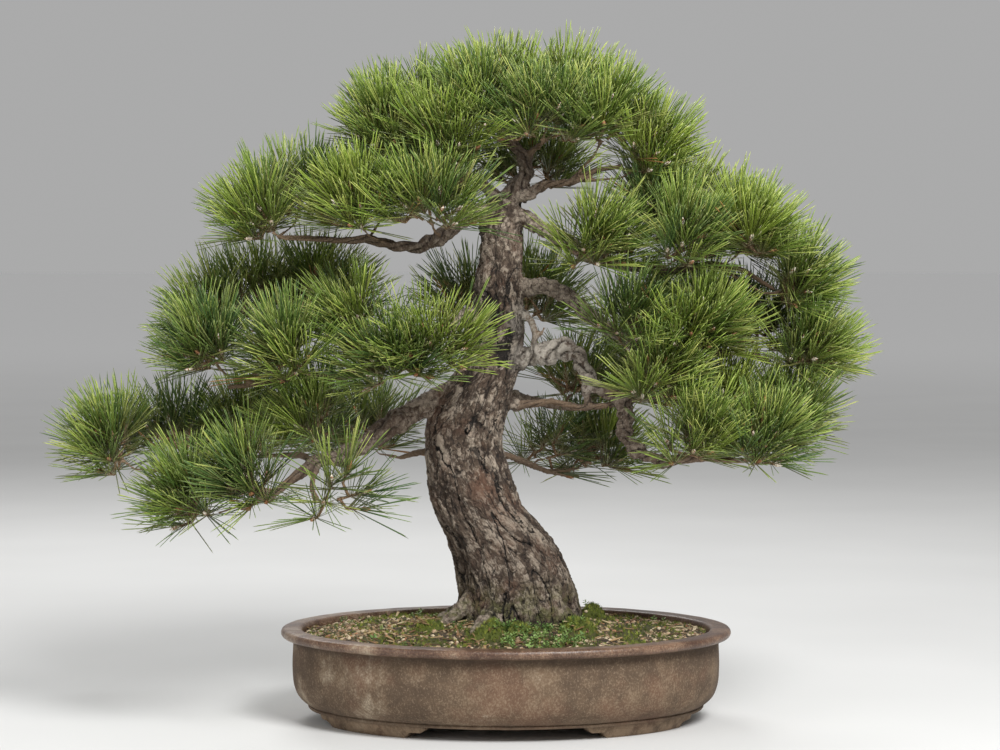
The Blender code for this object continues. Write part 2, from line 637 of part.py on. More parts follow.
def make_shoot(spray, number, room, dice):
    """A slim core on a bare stalk, whose every face is raised into a three-sided needle.

    The leading shoot goes on from the spray's stem, and the others start inside its fork.
    """
    shoot = spray.shoots[number]
    others = room.without((spray.name, number))
    start, end = spray.core_ends(shoot)
    reference = shoot.orthogonal().normalized()
    reference.rotate(Quaternion(shoot, dice.uniform(0, math.tau)))
    shape = bmesh.new()

    def ring(middle, axis, radius, twist=0.0):
        across = axis.cross(reference).normalized()
        side = across.cross(axis).normalized()
        turns = [math.tau * (i + twist) / CORE_SIDES for i in range(CORE_SIDES)]
        spokes = [math.cos(turn) * side + math.sin(turn) * across for turn in turns]
        return [shape.verts.new(middle + radius * spoke) for spoke in spokes]

    rings = []
    for i, radius in enumerate(CORE_RADII_MM):
        rings.append(ring(start + shoot * CORE_BAND * i, shoot, radius * MM, i / 2))
    if number == 0:
        foot = ring(spray.foot + GAP * spray.twig, spray.twig, TWIG_RADIUS)
        stalk = [foot, ring(spray.fork, spray.direction + shoot, STEM_RADIUS)]
    else:
        stalk = [ring(spray.fork, shoot, STALK_RADIUS)]
    shape.faces.new(list(reversed(stalk[0])))
    for lower, upper in zip(stalk, [*stalk[1:], rings[0]]):
        for i in range(CORE_SIDES):
            j = (i + 1) % CORE_SIDES
            shape.faces.new((lower[i], lower[j], upper[j], upper[i]))
    faces = []
    for lower, upper in zip(rings, rings[1:]):
        for i in range(CORE_SIDES):
            j = (i + 1) % CORE_SIDES
            faces.append(shape.faces.new((lower[i], lower[j], upper[i])))
            faces.append(shape.faces.new((lower[j], upper[j], upper[i])))
    tip = shape.verts.new(end)
    for i in range(CORE_SIDES):
        faces.append(shape.faces.new((rings[-1][i], rings[-1][(i + 1) % CORE_SIDES], tip)))
    own = Room()
    length = (end - start).length
    for face in faces:
        middle = face.calc_center_median()
        direction = needle_direction(middle, start, shoot, length)
        needle = needle_tip(middle, direction, others, own, dice)
        if needle is None:
            continue
        own.add("needle", middle, needle, NEEDLE_RADIUS, 0)
        room.add("needle", middle, needle, NEEDLE_RADIUS, 0)
        bmesh.ops.poke(shape, faces=[face])["verts"][0].co = needle
    bmesh.ops.recalc_face_normals(shape, faces=shape.faces[:])
    mesh = bpy.data.meshes.new(spray.name)
    shape.to_mesh(mesh)
    shape.free()
    return make_object(spray.name, mesh)


def make_spray(spray, room, dice):
    """All shoots of a spray, joined where the side shoots leave the leading one."""
    shoots = []
    for number in range(len(spray.shoots)):
        shoots.append(make_shoot(spray, number, room, dice))
    return combine(shoots[0], shoots[1:])


def stand_centred(parent, things):
    """Move the whole model so that the middle of its box's underside is the origin."""
    corners = np.array([vert.co for thing in things for vert in thing.data.vertices])
    low, high = corners.min(axis=0), corners.max(axis=0)
    parent.location = (-(low[0] + high[0]) / 2, -(low[1] + high[1]) / 2, -low[2])


def main():
    for thing in list(bpy.data.objects):
        bpy.data.objects.remove(thing)
    collection = bpy.data.collections.new("stone_pine_bonsai")
    bpy.context.scene.collection.children.link(collection)
    parent = bpy.data.objects.new("bonsai", None)
    collection.objects.link(parent)
    materials = {name: make_material(name) for name in COLOURS}

    sprays = plan_sprays()
    made = [(make_pot(), "stoneware")]
    for name, side in (("drainage_screen_left", -1), ("drainage_screen_right", 1)):
        made.append((make_screen(name, side), "plastic_mesh"))
    wood_foot = [make_trunk(grow=2 * GAP, top=4), *make_roots(grow=2 * GAP)]
    made.append((make_soil(wood_foot), "gravelly_soil"))
    made.append((make_wood(sprays), "pine_bark"))

    dice = random.Random(SEED)
    room = fill_room(sprays)
    for spray in sprays:
        made.append((make_spray(spray, room, dice), "pine_needles"))
    things = [finish(thing, materials[name], parent, collection) for thing, name in made]
    stand_centred(parent, things)


main()
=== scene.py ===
# %% [markdown]
# # A stone pine bonsai in its pot
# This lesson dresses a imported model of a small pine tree. The model gives every piece its place and
# its size, in metres with Z up. Each step below builds the fine surface of one piece round the plain
# solid that is already there, and then paints it.

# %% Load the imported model
import json
import math

import bmesh
import bpy
import numpy as np
from mathutils import Matrix, Quaternion, Vector, noise
from mathutils.bvhtree import BVHTree

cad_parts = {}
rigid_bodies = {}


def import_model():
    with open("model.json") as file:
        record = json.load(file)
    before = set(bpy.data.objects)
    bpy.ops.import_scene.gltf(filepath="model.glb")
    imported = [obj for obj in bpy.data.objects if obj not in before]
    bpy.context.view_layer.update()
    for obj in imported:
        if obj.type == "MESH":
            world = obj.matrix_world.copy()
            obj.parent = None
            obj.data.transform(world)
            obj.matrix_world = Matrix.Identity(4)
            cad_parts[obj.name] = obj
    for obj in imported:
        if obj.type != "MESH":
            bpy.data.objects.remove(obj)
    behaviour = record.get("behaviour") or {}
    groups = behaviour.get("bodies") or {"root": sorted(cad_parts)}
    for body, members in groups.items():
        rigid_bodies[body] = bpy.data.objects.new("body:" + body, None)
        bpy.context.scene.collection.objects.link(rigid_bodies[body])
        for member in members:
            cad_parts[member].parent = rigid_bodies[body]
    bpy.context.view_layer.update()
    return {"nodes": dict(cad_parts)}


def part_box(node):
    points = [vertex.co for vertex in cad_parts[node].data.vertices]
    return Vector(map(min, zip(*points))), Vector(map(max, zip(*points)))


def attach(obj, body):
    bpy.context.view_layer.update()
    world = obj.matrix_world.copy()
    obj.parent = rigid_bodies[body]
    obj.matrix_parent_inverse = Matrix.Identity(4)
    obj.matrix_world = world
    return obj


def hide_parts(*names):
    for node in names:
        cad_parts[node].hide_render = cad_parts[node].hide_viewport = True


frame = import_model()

MM = 0.001
CM = 0.01

# %% [markdown]
# ## Where things are
# The pot's own middle is the best place to measure from, because the tree leans out to the left.
# The feet of the pot are 3 mm lower than the level that the other heights are counted from.

# %% Measure from the pot
FEET_BELOW = 3 * MM
pot_low, pot_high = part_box("pot")
POT_MIDDLE = Vector(((pot_low.x + pot_high.x) / 2, (pot_low.y + pot_high.y) / 2, FEET_BELOW))
spray_names = sorted(name for name in frame["nodes"] if name.startswith("spray_"))
scene = bpy.context.scene
print("pot's middle:", [round(c, 4) for c in POT_MIDDLE], "sprays:", len(spray_names))

# %% [markdown]
# ## A small kit for node trees
# Materials and Geometry Nodes are both trees of nodes. One class wraps an output socket, so that a
# sum of two wires is written with a plus sign and becomes a Math node. The other class is the bench
# that the wires lie on. Its method node makes any node: settings first, then values or wires. The
# other methods are shorthand for the few nodes that come back again and again.

# %% The wire and the bench
class Wire:
    """An output socket that does arithmetic by adding Math nodes."""

    def __init__(self, bench, socket):
        self.bench = bench
        self.socket = socket

    def also(self, output):
        """Another output of the same node."""
        return Wire(self.bench, self.socket.node.outputs[output])

    def __add__(self, other):
        return self.bench.maths("ADD", self, other)

    def __radd__(self, other):
        return self.bench.maths("ADD", other, self)

    def __sub__(self, other):
        return self.bench.maths("SUBTRACT", self, other)

    def __rsub__(self, other):
        return self.bench.maths("SUBTRACT", other, self)

    def __mul__(self, other):
        return self.bench.maths("MULTIPLY", self, other)

    def __rmul__(self, other):
        return self.bench.maths("MULTIPLY", other, self)

    def __truediv__(self, other):
        return self.bench.maths("DIVIDE", self, other)

    def __rtruediv__(self, other):
        return self.bench.maths("DIVIDE", other, self)

    def __pow__(self, other):
        return self.bench.maths("POWER", self, other)

    def __rpow__(self, other):
        return self.bench.maths("POWER", other, self)


class Bench:
    """A node tree under construction."""

    def __init__(self, tree):
        self.tree = tree

    def connect(self, value, socket):
        if isinstance(value, Wire):
            self.tree.links.new(value.socket, socket)
        else:
            socket.default_value = value

    def node(self, kind, settings=None, inputs=None, output=0):
        made = self.tree.nodes.new(kind)
        for name, value in (settings or {}).items():
            if name == "stops":
                elements = made.color_ramp.elements
                while len(elements) < len(value):
                    elements.new(1)
                for element, (position, tint) in zip(elements, value):
                    element.position = position
                    element.color = tint
            else:
                setattr(made, name, value)
        for name, value in (inputs or {}).items():
            self.connect(value, made.inputs[name])
        return Wire(self, made.outputs[output])

    def maths(self, operation, *values):
        return self.node("ShaderNodeMath", {"operation": operation}, dict(enumerate(values)))

    def vector(self, operation, *values):
        """Vector maths. A length, a distance and a dot product come out as a number."""
        output = "Value" if operation in ("LENGTH", "DISTANCE", "DOT_PRODUCT") else "Vector"
        return self.node("ShaderNodeVectorMath", {"operation": operation}, dict(enumerate(values)), output)

    def scaled(self, vector, factor):
        return self.node("ShaderNodeVectorMath", {"operation": "SCALE"}, {0: vector, "Scale": factor})

    def summed(self, first, *others):
        for other in others:
            first = self.vector("ADD", first, other)
        return first

    def part(self, vector, axis):
        """The X, Y or Z of a vector."""
        return self.node("ShaderNodeSeparateXYZ", inputs={"Vector": vector}, output=axis)

    def step(self, value, low, high):
        """A soft threshold from 0 at low to 1 at high."""
        settings = {"interpolation_type": "SMOOTHSTEP", "clamp": True}
        return self.node("ShaderNodeMapRange", settings, {"Value": value, "From Min": low, "From Max": high})

    def clouds(self, place, size, detail=3, roughness=0.55, output=0):
        """Noise whose lumps are about this big, in metres."""
        inputs = {"Vector": place, "Scale": 1 / size, "Detail": detail, "Roughness": roughness}
        return self.node("ShaderNodeTexNoise", inputs=inputs, output=output)

    def patches(self, place, size, feature="F1", output="Distance"):
        """Voronoi cells about this big, in metres."""
        inputs = {"Vector": place, "Scale": 1 / size}
        return self.node("ShaderNodeTexVoronoi", {"feature": feature}, inputs, output)


print("kit ready")

# %% [markdown]
# ## Helpers for paint
# Colours are picked as everyday 0 to 255 values and turned into the linear values that the
# renderer works with. A finish starts from a base colour, and thin coats of other colours go over it,
# each with its own share: dust here, a crack there.

# %% Paint helpers
def colour(red, green, blue):
    channels = [c / 255 for c in (red, green, blue)]
    linear = [c / 12.92 if c <= 0.04045 else ((c + 0.055) / 1.055) ** 2.4 for c in channels]
    return (*linear, 1)


def pigment(value):
    """Three everyday numbers as a linear colour. A wire or a linear colour stays as it is."""
    return value if isinstance(value, Wire) or len(value) == 4 else colour(*value)


class Finish(Bench):
    """A material under construction, round one Principled shader."""

    def __init__(self, name):
        self.material = bpy.data.materials.new(name)
        self.material.use_nodes = True
        super().__init__(self.material.node_tree)
        self.shader = self.tree.nodes["Principled BSDF"]
        self.place = self.node("ShaderNodeTexCoord", output="Object")

    def squashed(self, height):
        """The place on the object, with its height scaled, for marks that aren't round."""
        return self.node("ShaderNodeMapping", inputs={"Vector": self.place, "Scale": (1, 1, height)})

    def noise(self, size, detail=3, roughness=0.55, place=None):
        return self.clouds(place or self.place, size, detail, roughness)

    def attribute(self, name, output="Fac"):
        return self.node("ShaderNodeAttribute", {"attribute_name": name}, output=output)

    def mix(self, first, second, share):
        settings = {"data_type": "RGBA", "clamp_factor": True}
        return self.node("ShaderNodeMix", settings, {0: share, 6: pigment(first), 7: pigment(second)}, 2)

    def coats(self, base, *layers):
        """Coats of colour over a base, one after another, each with its share."""
        for coat, share in layers:
            base = self.mix(base, coat, share)
        return base

    def ramp(self, value, *stops):
        stops = [(position, pigment(tint)) for position, tint in stops]
        return self.node("ShaderNodeValToRGB", {"stops": stops}, {"Fac": value})

    def paint(self, base, roughness, height=None, strength=1.0, distance=1 * MM):
        """Wire up the colour, the roughness and the fine relief."""
        self.connect(base, self.shader.inputs["Base Color"])
        self.connect(roughness, self.shader.inputs["Roughness"])
        if height is not None:
            inputs = {"Height": height, "Strength": strength, "Distance": distance}
            self.connect(self.node("ShaderNodeBump", inputs=inputs), self.shader.inputs["Normal"])


print("leaf green in linear light:", [round(c, 3) for c in colour(110, 150, 60)])

# %% [markdown]
# ## Camera, light and floor
# The photograph was taken with a long lens, about three metres away and a little above the rim of
# the pot. The main light is large and soft, and comes from the upper right. A weak one on the left
# opens the shadows, and one behind gives the needles an edge. A pale floor catches the shadow.

# %% Camera and lights
LENS_MM = 97.6
SENSOR_MM = 36
LOOKING_DOWN = 2.64
CAMERA_FROM_POT = Vector((-0.0066, -3.0, 0.518))
LIT_POINT = Vector((0, 0, 0.4))
LIGHTS = {
    "key_light": ((1.0, -2.1, 2.4), 1.1, 114),
    "fill_light": ((-2.2, -1.8, 1.4), 1.6, 14),
    "back_light": ((-0.6, 2.0, 2.2), 1.2, 30),
}


def placed(name, data):
    """A new object in the scene."""
    thing = bpy.data.objects.new(name, data)
    scene.collection.objects.link(thing)
    return thing


camera = placed("camera", bpy.data.cameras.new("camera"))
camera.data.lens = LENS_MM
camera.data.sensor_width = SENSOR_MM
camera.location = POT_MIDDLE + CAMERA_FROM_POT
camera.rotation_euler = (math.radians(90 - LOOKING_DOWN), 0, 0)
scene.camera = camera
for name, (place, size, watts) in LIGHTS.items():
    light = placed(name, bpy.data.lights.new(name, "AREA"))
    light.data.size = size
    light.data.energy = watts
    light.location = place
    light.rotation_euler = (LIT_POINT - light.location).to_track_quat("-Z", "Y").to_euler()
print("camera at", [round(c, 3) for c in camera.location], "lights:", len(LIGHTS))

# %% Sky and floor
world = bpy.data.worlds.new("studio")
scene.world = world
world.use_nodes = True
sky = world.node_tree.nodes["Background"]
sky.inputs["Color"].default_value = (0.9, 0.9, 0.9, 1)
sky.inputs["Strength"].default_value = 0.45
scene.view_settings.view_transform = "Standard"

floor_shape = bmesh.new()
bmesh.ops.create_circle(floor_shape, cap_ends=True, segments=96, radius=60)
floor = placed("floor", bpy.data.meshes.new("floor"))
floor_shape.to_mesh(floor.data)
floor_shape.free()
floor_paint = Finish("pale_floor")
near = floor_paint.ramp(floor_paint.noise(0.5, 2), (0.3, (0.66, 0.66, 0.65, 1)), (0.7, (0.7, 0.7, 0.69, 1)))
far = floor_paint.step(floor_paint.vector("LENGTH", floor_paint.place), 1.5, 12.0)
floor_paint.paint(floor_paint.mix(near, (0.97, 0.97, 0.97, 1), far), 0.85)
floor.data.materials.append(floor_paint.material)
print("floor radius in metres:", round(floor.dimensions.x / 2))

# %% [markdown]
# ## Pieces and their meshes
# A imported node arrives as loose triangles. A copy of it is welded before anything grows from it.
# Every finished piece has its place in its mesh and its object at the origin, and rides on the one
# body of this model.

# %% Mesh helpers
def welded(name):
    """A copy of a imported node, its loose triangles joined up."""
    shape = bmesh.new()
    shape.from_mesh(frame["nodes"][name].data)
    bmesh.ops.remove_doubles(shape, verts=shape.verts[:], dist=0.01 * MM)
    return shape


def triangles(mesh):
    return sum(len(face.vertices) - 2 for face in mesh.polygons)


triangles_added = {}


def add_piece(name, mesh, slot, *stands_for, finish=None):
    """Put a finished mesh into the scene as a piece that rides on the model."""
    if finish:
        mesh.materials.clear()
        mesh.materials.append(finish.material)
    triangles_added[name] = triangles(mesh)
    piece = placed(name, mesh)
    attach(piece, "root")
    if stands_for:
        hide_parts(*stands_for)
    print(name, triangles_added[name], "triangles")


def evaluated_mesh(thing):
    """The plain mesh that an object's modifiers give. The object itself goes."""
    graph = bpy.context.evaluated_depsgraph_get()
    mesh = bpy.data.meshes.new_from_object(thing.evaluated_get(graph))
    thing.modifiers.clear()
    bpy.data.objects.remove(thing)
    return mesh


def mesh_of(name, shape):
    mesh = bpy.data.meshes.new(name)
    shape.to_mesh(mesh)
    shape.free()
    return mesh


def vectors_of(items, key):
    """One vector for each point or face of a mesh, such as co, normal or center."""
    found = np.zeros(len(items) * 3, np.float32)
    items.foreach_get(key, found)
    return found.reshape(-1, 3)


def store(mesh, name, values):
    """Keep one number, or one vector, for each point of a mesh."""
    values = np.asarray(values, np.float32)
    kind, key = ("FLOAT_VECTOR", "vector") if values.shape[1:] == (3,) else ("FLOAT", "value")
    mesh.attributes.new(name, kind, "POINT").data.foreach_set(key, values.ravel())


def voxel_skin(shape, size):
    """A shape closed over by a skin of small, even faces."""
    thing = placed("skin", mesh_of("skin", shape))
    remesh = thing.modifiers.new("voxels", "REMESH")
    remesh.mode = "VOXEL"
    remesh.voxel_size = size
    remesh.adaptivity = 0
    return evaluated_mesh(thing)


print("welded wood has", len(welded("wood").verts), "points")

# %% Rings of points
def bridge(shape, lower, upper):
    """Faces between two rings of points."""
    for i in range(len(lower)):
        j = (i + 1) % len(lower)
        shape.faces.new((lower[i], lower[j], upper[j], upper[i]))


def fan(shape, ring, tip):
    """Faces from a ring of points to one point."""
    for i in range(len(ring)):
        shape.faces.new((ring[i], ring[(i + 1) % len(ring)], tip))


def round_points(radius, height, count, start=0.0):
    """Places on a level circle."""
    turns = [start + math.tau * i / count for i in range(count)]
    return [Vector((radius * math.cos(turn), radius * math.sin(turn), height)) for turn in turns]


print("a ring of three:", [tuple(round(c, 2) for c in place) for place in round_points(1, 0, 3)])

# %% [markdown]
# ## The pot
# The real pot was pressed in a mould, so its section is the same all round an oval. The section goes
# from the drain floor up the inside, over the rolled lip, down the belly and in to the foot ring. Its
# corners are cut twice, which rounds them, and the oval gets a few hundred points. A slow noise makes
# the wall a little uneven. Its seed is fixed, because noise_vector otherwise starts from the clock.

# %% Round off the pot's section
POT_HALF = (250 * MM, 187.5 * MM)
POT_AROUND = 224
POT_SECTION_MM = [
    (40, 20), (29, 21.5), (26, 30), (24, 96), (22.6, 99), (19, 100), (5, 100), (1.2, 98.6), (0, 95),
    (0.8, 91.8), (4, 89.5), (12.5, 88.9), (14, 86), (12.5, 60), (13.5, 40), (18, 26), (26, 18),
    (32, 15), (30, 14.5), (30, 12.5), (31, 11), (60, 11),
]


def cut_corners(points, share=0.22):
    rounded = [points[0]]
    for first, second in zip(points, points[1:]):
        rounded.append(tuple(a + share * (b - a) for a, b in zip(first, second)))
        rounded.append(tuple(b + share * (a - b) for a, b in zip(first, second)))
    return rounded + [points[-1]]


section = cut_corners(cut_corners(POT_SECTION_MM))
print("points in the section:", len(section))

# %% Sweep it round the oval
HAND_MADE = 0.35 * MM
HAND_MADE_SIZE = 26 * MM
HAND_MADE_SEED = 5
noise.seed_set(HAND_MADE_SEED)


def oval_point(angle, inset, height):
    """A point of the pot's oval, moved in along the oval's own normal."""
    rim = Vector((POT_HALF[0] * math.cos(angle), POT_HALF[1] * math.sin(angle), height))
    outwards = Vector((math.cos(angle) / POT_HALF[0], math.sin(angle) / POT_HALF[1], 0)).normalized()
    return POT_MIDDLE + rim - inset * outwards


def swept(rings):
    """A closed shell through rings of points."""
    shape = bmesh.new()
    rows = [[shape.verts.new(point) for point in ring] for ring in rings]
    for row, following in zip(rows, rows[1:]):
        bridge(shape, row, following)
    shape.faces.new(list(reversed(rows[0])))
    shape.faces.new(rows[-1])
    bmesh.ops.recalc_face_normals(shape, faces=shape.faces[:])
    return shape


rings = []
for inset, height in section:
    ring = [oval_point(math.tau * i / POT_AROUND, inset * MM, height * MM) for i in range(POT_AROUND)]
    rings.append([point + noise.noise_vector(point / HAND_MADE_SIZE) * HAND_MADE for point in ring])
pot_shape = swept(rings)
print("faces on the pot:", len(pot_shape.faces))

# %% [markdown]
# ## The feet
# Four low feet follow the oval. Each one is a bent bar. Towards its ends it steps up twice, with
# rounded corners, like the edge of a cloud.

# %% Bend the feet
FOOT_REACH = (19, 67)
FOOT_STEP = (25, 61)
FOOT_STATIONS = 64


def eased(value, low, high):
    share = min(max((value - low) / (high - low), 0), 1)
    return share * share * (3 - 2 * share)


def foot_bottom(angle):
    """How low the foot reaches at this angle, in millimetres."""
    into = min(angle - FOOT_REACH[0], FOOT_REACH[1] - angle)
    deeper = min(angle - FOOT_STEP[0], FOOT_STEP[1] - angle)
    return 9 - 5 * eased(into, 0.0, 1.4) - 7 * eased(deeper, -0.9, 0.7)


def foot_shape(side, front):
    stations = []
    for i in range(FOOT_STATIONS):
        angle = FOOT_REACH[0] + (FOOT_REACH[1] - FOOT_REACH[0]) * i / (FOOT_STATIONS - 1)
        low = foot_bottom(angle)
        outer = 36 + 5 * eased(4.6 - low, 0, 6)
        bar = [(34.5, 12.4), (35.2, 9.6), (outer, low + 1.4), (outer + 1.6, low), (60, low), (64, 12.4)]
        turn = math.radians(angle)
        ring = [oval_point(turn, inset * MM, height * MM) - POT_MIDDLE for inset, height in bar]
        stations.append([POT_MIDDLE + Vector((p.x * side, p.y * front, p.z)) for p in ring])
    return swept(stations)


feet = [foot_shape(side, front) for side, front in ((1, -1), (-1, -1), (1, 1), (-1, 1))]
print("faces on one foot:", len(feet[0].faces))

# %% Join the feet and drill the drain holes
DRAIN_X = 110 * MM
DRAIN_RADIUS = 14 * MM
SHARP_FROM = math.radians(38)


def boolean(mesh, operation, shapes):
    """Join shapes to a mesh, or cut them out of it."""
    thing = placed("worked", mesh)
    group = bpy.data.collections.new("shapes")
    scene.collection.children.link(group)
    for shape in shapes:
        group.objects.link(bpy.data.objects.new("shape", mesh_of("shape", shape)))
    modifier = thing.modifiers.new("join_or_cut", "BOOLEAN")
    modifier.operation = operation
    modifier.operand_type = "COLLECTION"
    modifier.collection = group
    worked = evaluated_mesh(thing)
    for other in list(group.objects):
        bpy.data.objects.remove(other)
    return worked


drills = [bmesh.new(), bmesh.new()]
for drill, side in zip(drills, (-1, 1)):
    bmesh.ops.create_cone(
        drill, cap_ends=True, segments=48, radius1=DRAIN_RADIUS, radius2=DRAIN_RADIUS, depth=60 * MM,
    )
    bmesh.ops.translate(drill, verts=drill.verts[:], vec=POT_MIDDLE + Vector((side * DRAIN_X, 0, 15 * MM)))
pot_mesh = boolean(mesh_of("pot_body", pot_shape), "UNION", feet)
pot_mesh = boolean(pot_mesh, "DIFFERENCE", drills)
pot_mesh.shade_smooth()
pot_mesh.set_sharp_from_angle(angle=SHARP_FROM)
print("pot:", len(pot_mesh.polygons), "faces")

# %% [markdown]
# ## Old stoneware
# The clay is unglazed and brown, redder on the lip. Hard water has left a pale bloom in clouds and
# streaks that run down the belly, most of it on the left of the front, and pale dust sits by the feet.
# The hollow under the lip and the tucked-in band above the feet are darker with painted shade. A low
# relief keeps the light from lying flat on it.

# %% Paint the pot
clay = Finish("stoneware")
across = clay.part(clay.place, "X") - POT_MIDDLE.x
height = clay.part(clay.place, "Z") - POT_MIDDLE.z
mottle = clay.noise(46 * MM, 6, 0.68)
streaks = clay.noise(11 * MM, 5, 0.7, clay.squashed(0.4))
grain = clay.noise(1.6 * MM, 2)
flecks = clay.noise(1.9 * MM, 4, 0.75, clay.squashed(0.75))
specks = clay.step(flecks + mottle * 0.35, 0.64, 0.86)
pits = clay.step(clay.patches(clay.place, 2.4 * MM), 0.2, 0.08) * clay.step(mottle, 0.6, 0.45)
lip = clay.step(height, 88 * MM, 91 * MM)
to_left = clay.step(across, 40 * MM, -170 * MM)
bloom = clay.step(clay.noise(45 * MM, 4, 0.7), 0.62 - to_left * 0.14, 0.78 - to_left * 0.1)
bloom = bloom * clay.step(streaks, 0.32, 0.62)
feet_dust = clay.step(height, 16 * MM, 9 * MM) * clay.step(streaks, 0.35, 0.6)
# painted shade: darker in the hollow under the lip and in the tucked-in band just above the feet
lip_groove_shade = clay.step(height, 78 * MM, 88 * MM) * (1 - lip)
foot_band_shade = clay.step(height, 19 * MM, 12 * MM) * clay.step(height, 8 * MM, 12 * MM)
lip_clay = clay.mix((72, 47, 35), (132, 100, 79), clay.step(mottle * 0.6 + grain * 0.4, 0.42, 0.66))
surface = clay.coats(
    (80, 64, 49),
    ((108, 88, 68), clay.step(mottle, 0.34, 0.66)),
    ((110, 76, 58), clay.step(clay.noise(70 * MM, 4), 0.48, 0.66) * 0.4),
    (lip_clay, lip * 0.85),
    ((182, 170, 148), bloom * (specks * 0.6 + 0.25)),
    ((166, 146, 122), specks * 0.42),
    ((62, 48, 37), pits * 0.5),
    ((150, 128, 104), feet_dust * 0.6),
    # painted shade in the hollow under the lip and the band above the feet
    ((58, 44, 34), lip_groove_shade * 0.6 + foot_band_shade * 0.35),
)
relief = mottle * 0.5 + grain * 0.5 + streaks * 0.4
clay.paint(surface, 0.88 - bloom * 0.1 - lip * 0.5, relief, 0.6, 0.9 * MM)
add_piece("pot_fine", pot_mesh, "stoneware", "pot", finish=clay)

# %% [markdown]
# ## The tree's wood
# Trunk, branches and twigs grew as one. The plain solid has the right line but flat sides, and the
# little shoots that carry the needles are part of the sprays. So the wood and the bare shoots are
# put together, closed over by a fine voxel skin, and smoothed. That also rounds off every fork.

# %% Take the needles off the shoots
NEEDLE_AT_LEAST = 20 * MM
SHOOT_THICKER_BY = 0.7 * MM


def needle_tips(shape):
    """The points of a spray where only three long edges meet: the tips of its needles."""
    found = []
    for vert in shape.verts:
        lengths = [edge.calc_length() for edge in vert.link_edges]
        if len(lengths) == 3 and min(lengths) > NEEDLE_AT_LEAST:
            found.append(vert)
    return found


guides = {}
bare = welded("wood")
for name in spray_names:
    spray = welded(name)
    tips = needle_tips(spray)
    guides[name] = []
    holes = []
    for tip in tips:
        around = [edge.other_vert(tip) for edge in tip.link_edges]
        foot = sum((vert.co for vert in around), Vector()) / 3
        guides[name].append((foot, tip.co.copy()))
        holes.append(around)
    bmesh.ops.delete(spray, geom=tips, context="VERTS")
    for around in holes:
        spray.faces.new(around)
    bmesh.ops.recalc_face_normals(spray, faces=spray.faces[:])
    for vert in spray.verts:
        vert.co += vert.normal * SHOOT_THICKER_BY
    kept = mesh_of("kept", spray)
    bare.from_mesh(kept)
    bpy.data.meshes.remove(kept)
print("needles in the packed model:", sum(len(found) for found in guides.values()))

# %% [markdown]
# Old wood isn't an even tube. The gnarled branch on the right has healed knots and a loop that comes
# down to the thin branch below, a dead spur curls beside it, and one root runs out to the left. They
# are plain balls and tapered rods here, because the skin that follows melts them into the wood.

# %% Add knots, a loop, a spur and a root
LOOP_PATH = [(83, -46, 392), (93, -54, 380), (88, -54, 365), (90, -47, 349)]
KNOTS_MM = [
    ((66, -32, 409), 12), ((44, -23, 402), 11), ((129, -68, 323), 9), ((141, -76, 302), 9),
    ((172, -81, 291), 8), ((90, -54, 378), 9), ((-178, -73, 295), 11), ((-118, -38, 331), 12),
]
RODS_MM = {
    "loop": (LOOP_PATH, 5.5, 4.5),
    "spur_curl": ([(32, -33, 424), (38, -33, 425), (42, -33, 433)], 3.0, 2.0),
    "dead_spur": ([(10, -4, 453), (20, -15, 448), (28, -25, 440), (32, -31, 427), (31, -29, 406)], 4.6, 4.2),
    "left_root": ([(-34, -24, 142), (-54, -38, 119), (-72, -48, 106), (-90, -54, 95)], 8.5, 5.0),
}


def add_ball(shape, place, radius, subdivisions):
    middle = Matrix.Translation(place)
    bmesh.ops.create_icosphere(shape, subdivisions=subdivisions, radius=radius, matrix=middle)


def add_rod(shape, start, end, start_radius, end_radius):
    """A tapered rod with a ball at each end."""
    way = end - start
    turn = way.to_track_quat("Z", "Y").to_matrix().to_4x4()
    bmesh.ops.create_cone(
        shape, cap_ends=True, segments=12, radius1=start_radius, radius2=end_radius, depth=way.length,
        matrix=Matrix.Translation((start + end) / 2) @ turn,
    )
    add_ball(shape, start, start_radius, 2)
    add_ball(shape, end, end_radius, 2)


for place, radius in KNOTS_MM:
    add_ball(bare, POT_MIDDLE + Vector(place) * MM, radius * MM, 3)
for path, first, last in RODS_MM.values():
    places = [POT_MIDDLE + Vector(place) * MM for place in path]
    radii = np.linspace(first, last, len(places)) * MM
    for i in range(len(places) - 1):
        add_rod(bare, places[i], places[i + 1], radii[i], radii[i + 1])
print("knots:", len(KNOTS_MM), "rods:", len(RODS_MM))

# %% Close it over with a fine skin
VOXEL = 2.15 * MM
skin_mesh = voxel_skin(bare, VOXEL)
print("points in the skin:", len(skin_mesh.vertices))

# %% [markdown]
# Smoothing moves each point towards the middle of its neighbours. Done alone, that thins the twigs,
# so every second round pushes back out a little further. The same averaging softens the measured
# thickness of the wood, which later decides how coarse the bark is.

# %% Smooth the skin
PULL_IN = 0.55
PUSH_OUT = 0.57
edges = np.zeros(len(skin_mesh.edges) * 2, np.int64)
skin_mesh.edges.foreach_get("vertices", edges)
edges = edges.reshape(-1, 2)
count = np.bincount(edges.ravel(), minlength=len(skin_mesh.vertices))[:, None]


def neighbour_mean(values):
    total = np.zeros_like(values)
    for column in range(values.shape[1]):
        total[:, column] += np.bincount(edges[:, 0], values[edges[:, 1], column], len(values))
        total[:, column] += np.bincount(edges[:, 1], values[edges[:, 0], column], len(values))
    return total / np.maximum(count, 1)


points = vectors_of(skin_mesh.vertices, "co").astype(np.float64)
for _ in range(6):
    points += PULL_IN * (neighbour_mean(points) - points)
    points -= PUSH_OUT * (neighbour_mean(points) - points)
skin_mesh.vertices.foreach_set("co", points.astype(np.float32).ravel())
skin_mesh.update()
print("smoothed points:", len(points))

# %% Measure the wood's thickness
LONGEST_LOOK = 0.2
solid_wood = BVHTree.FromPolygons(points.tolist(), [tuple(face.vertices) for face in skin_mesh.polygons])


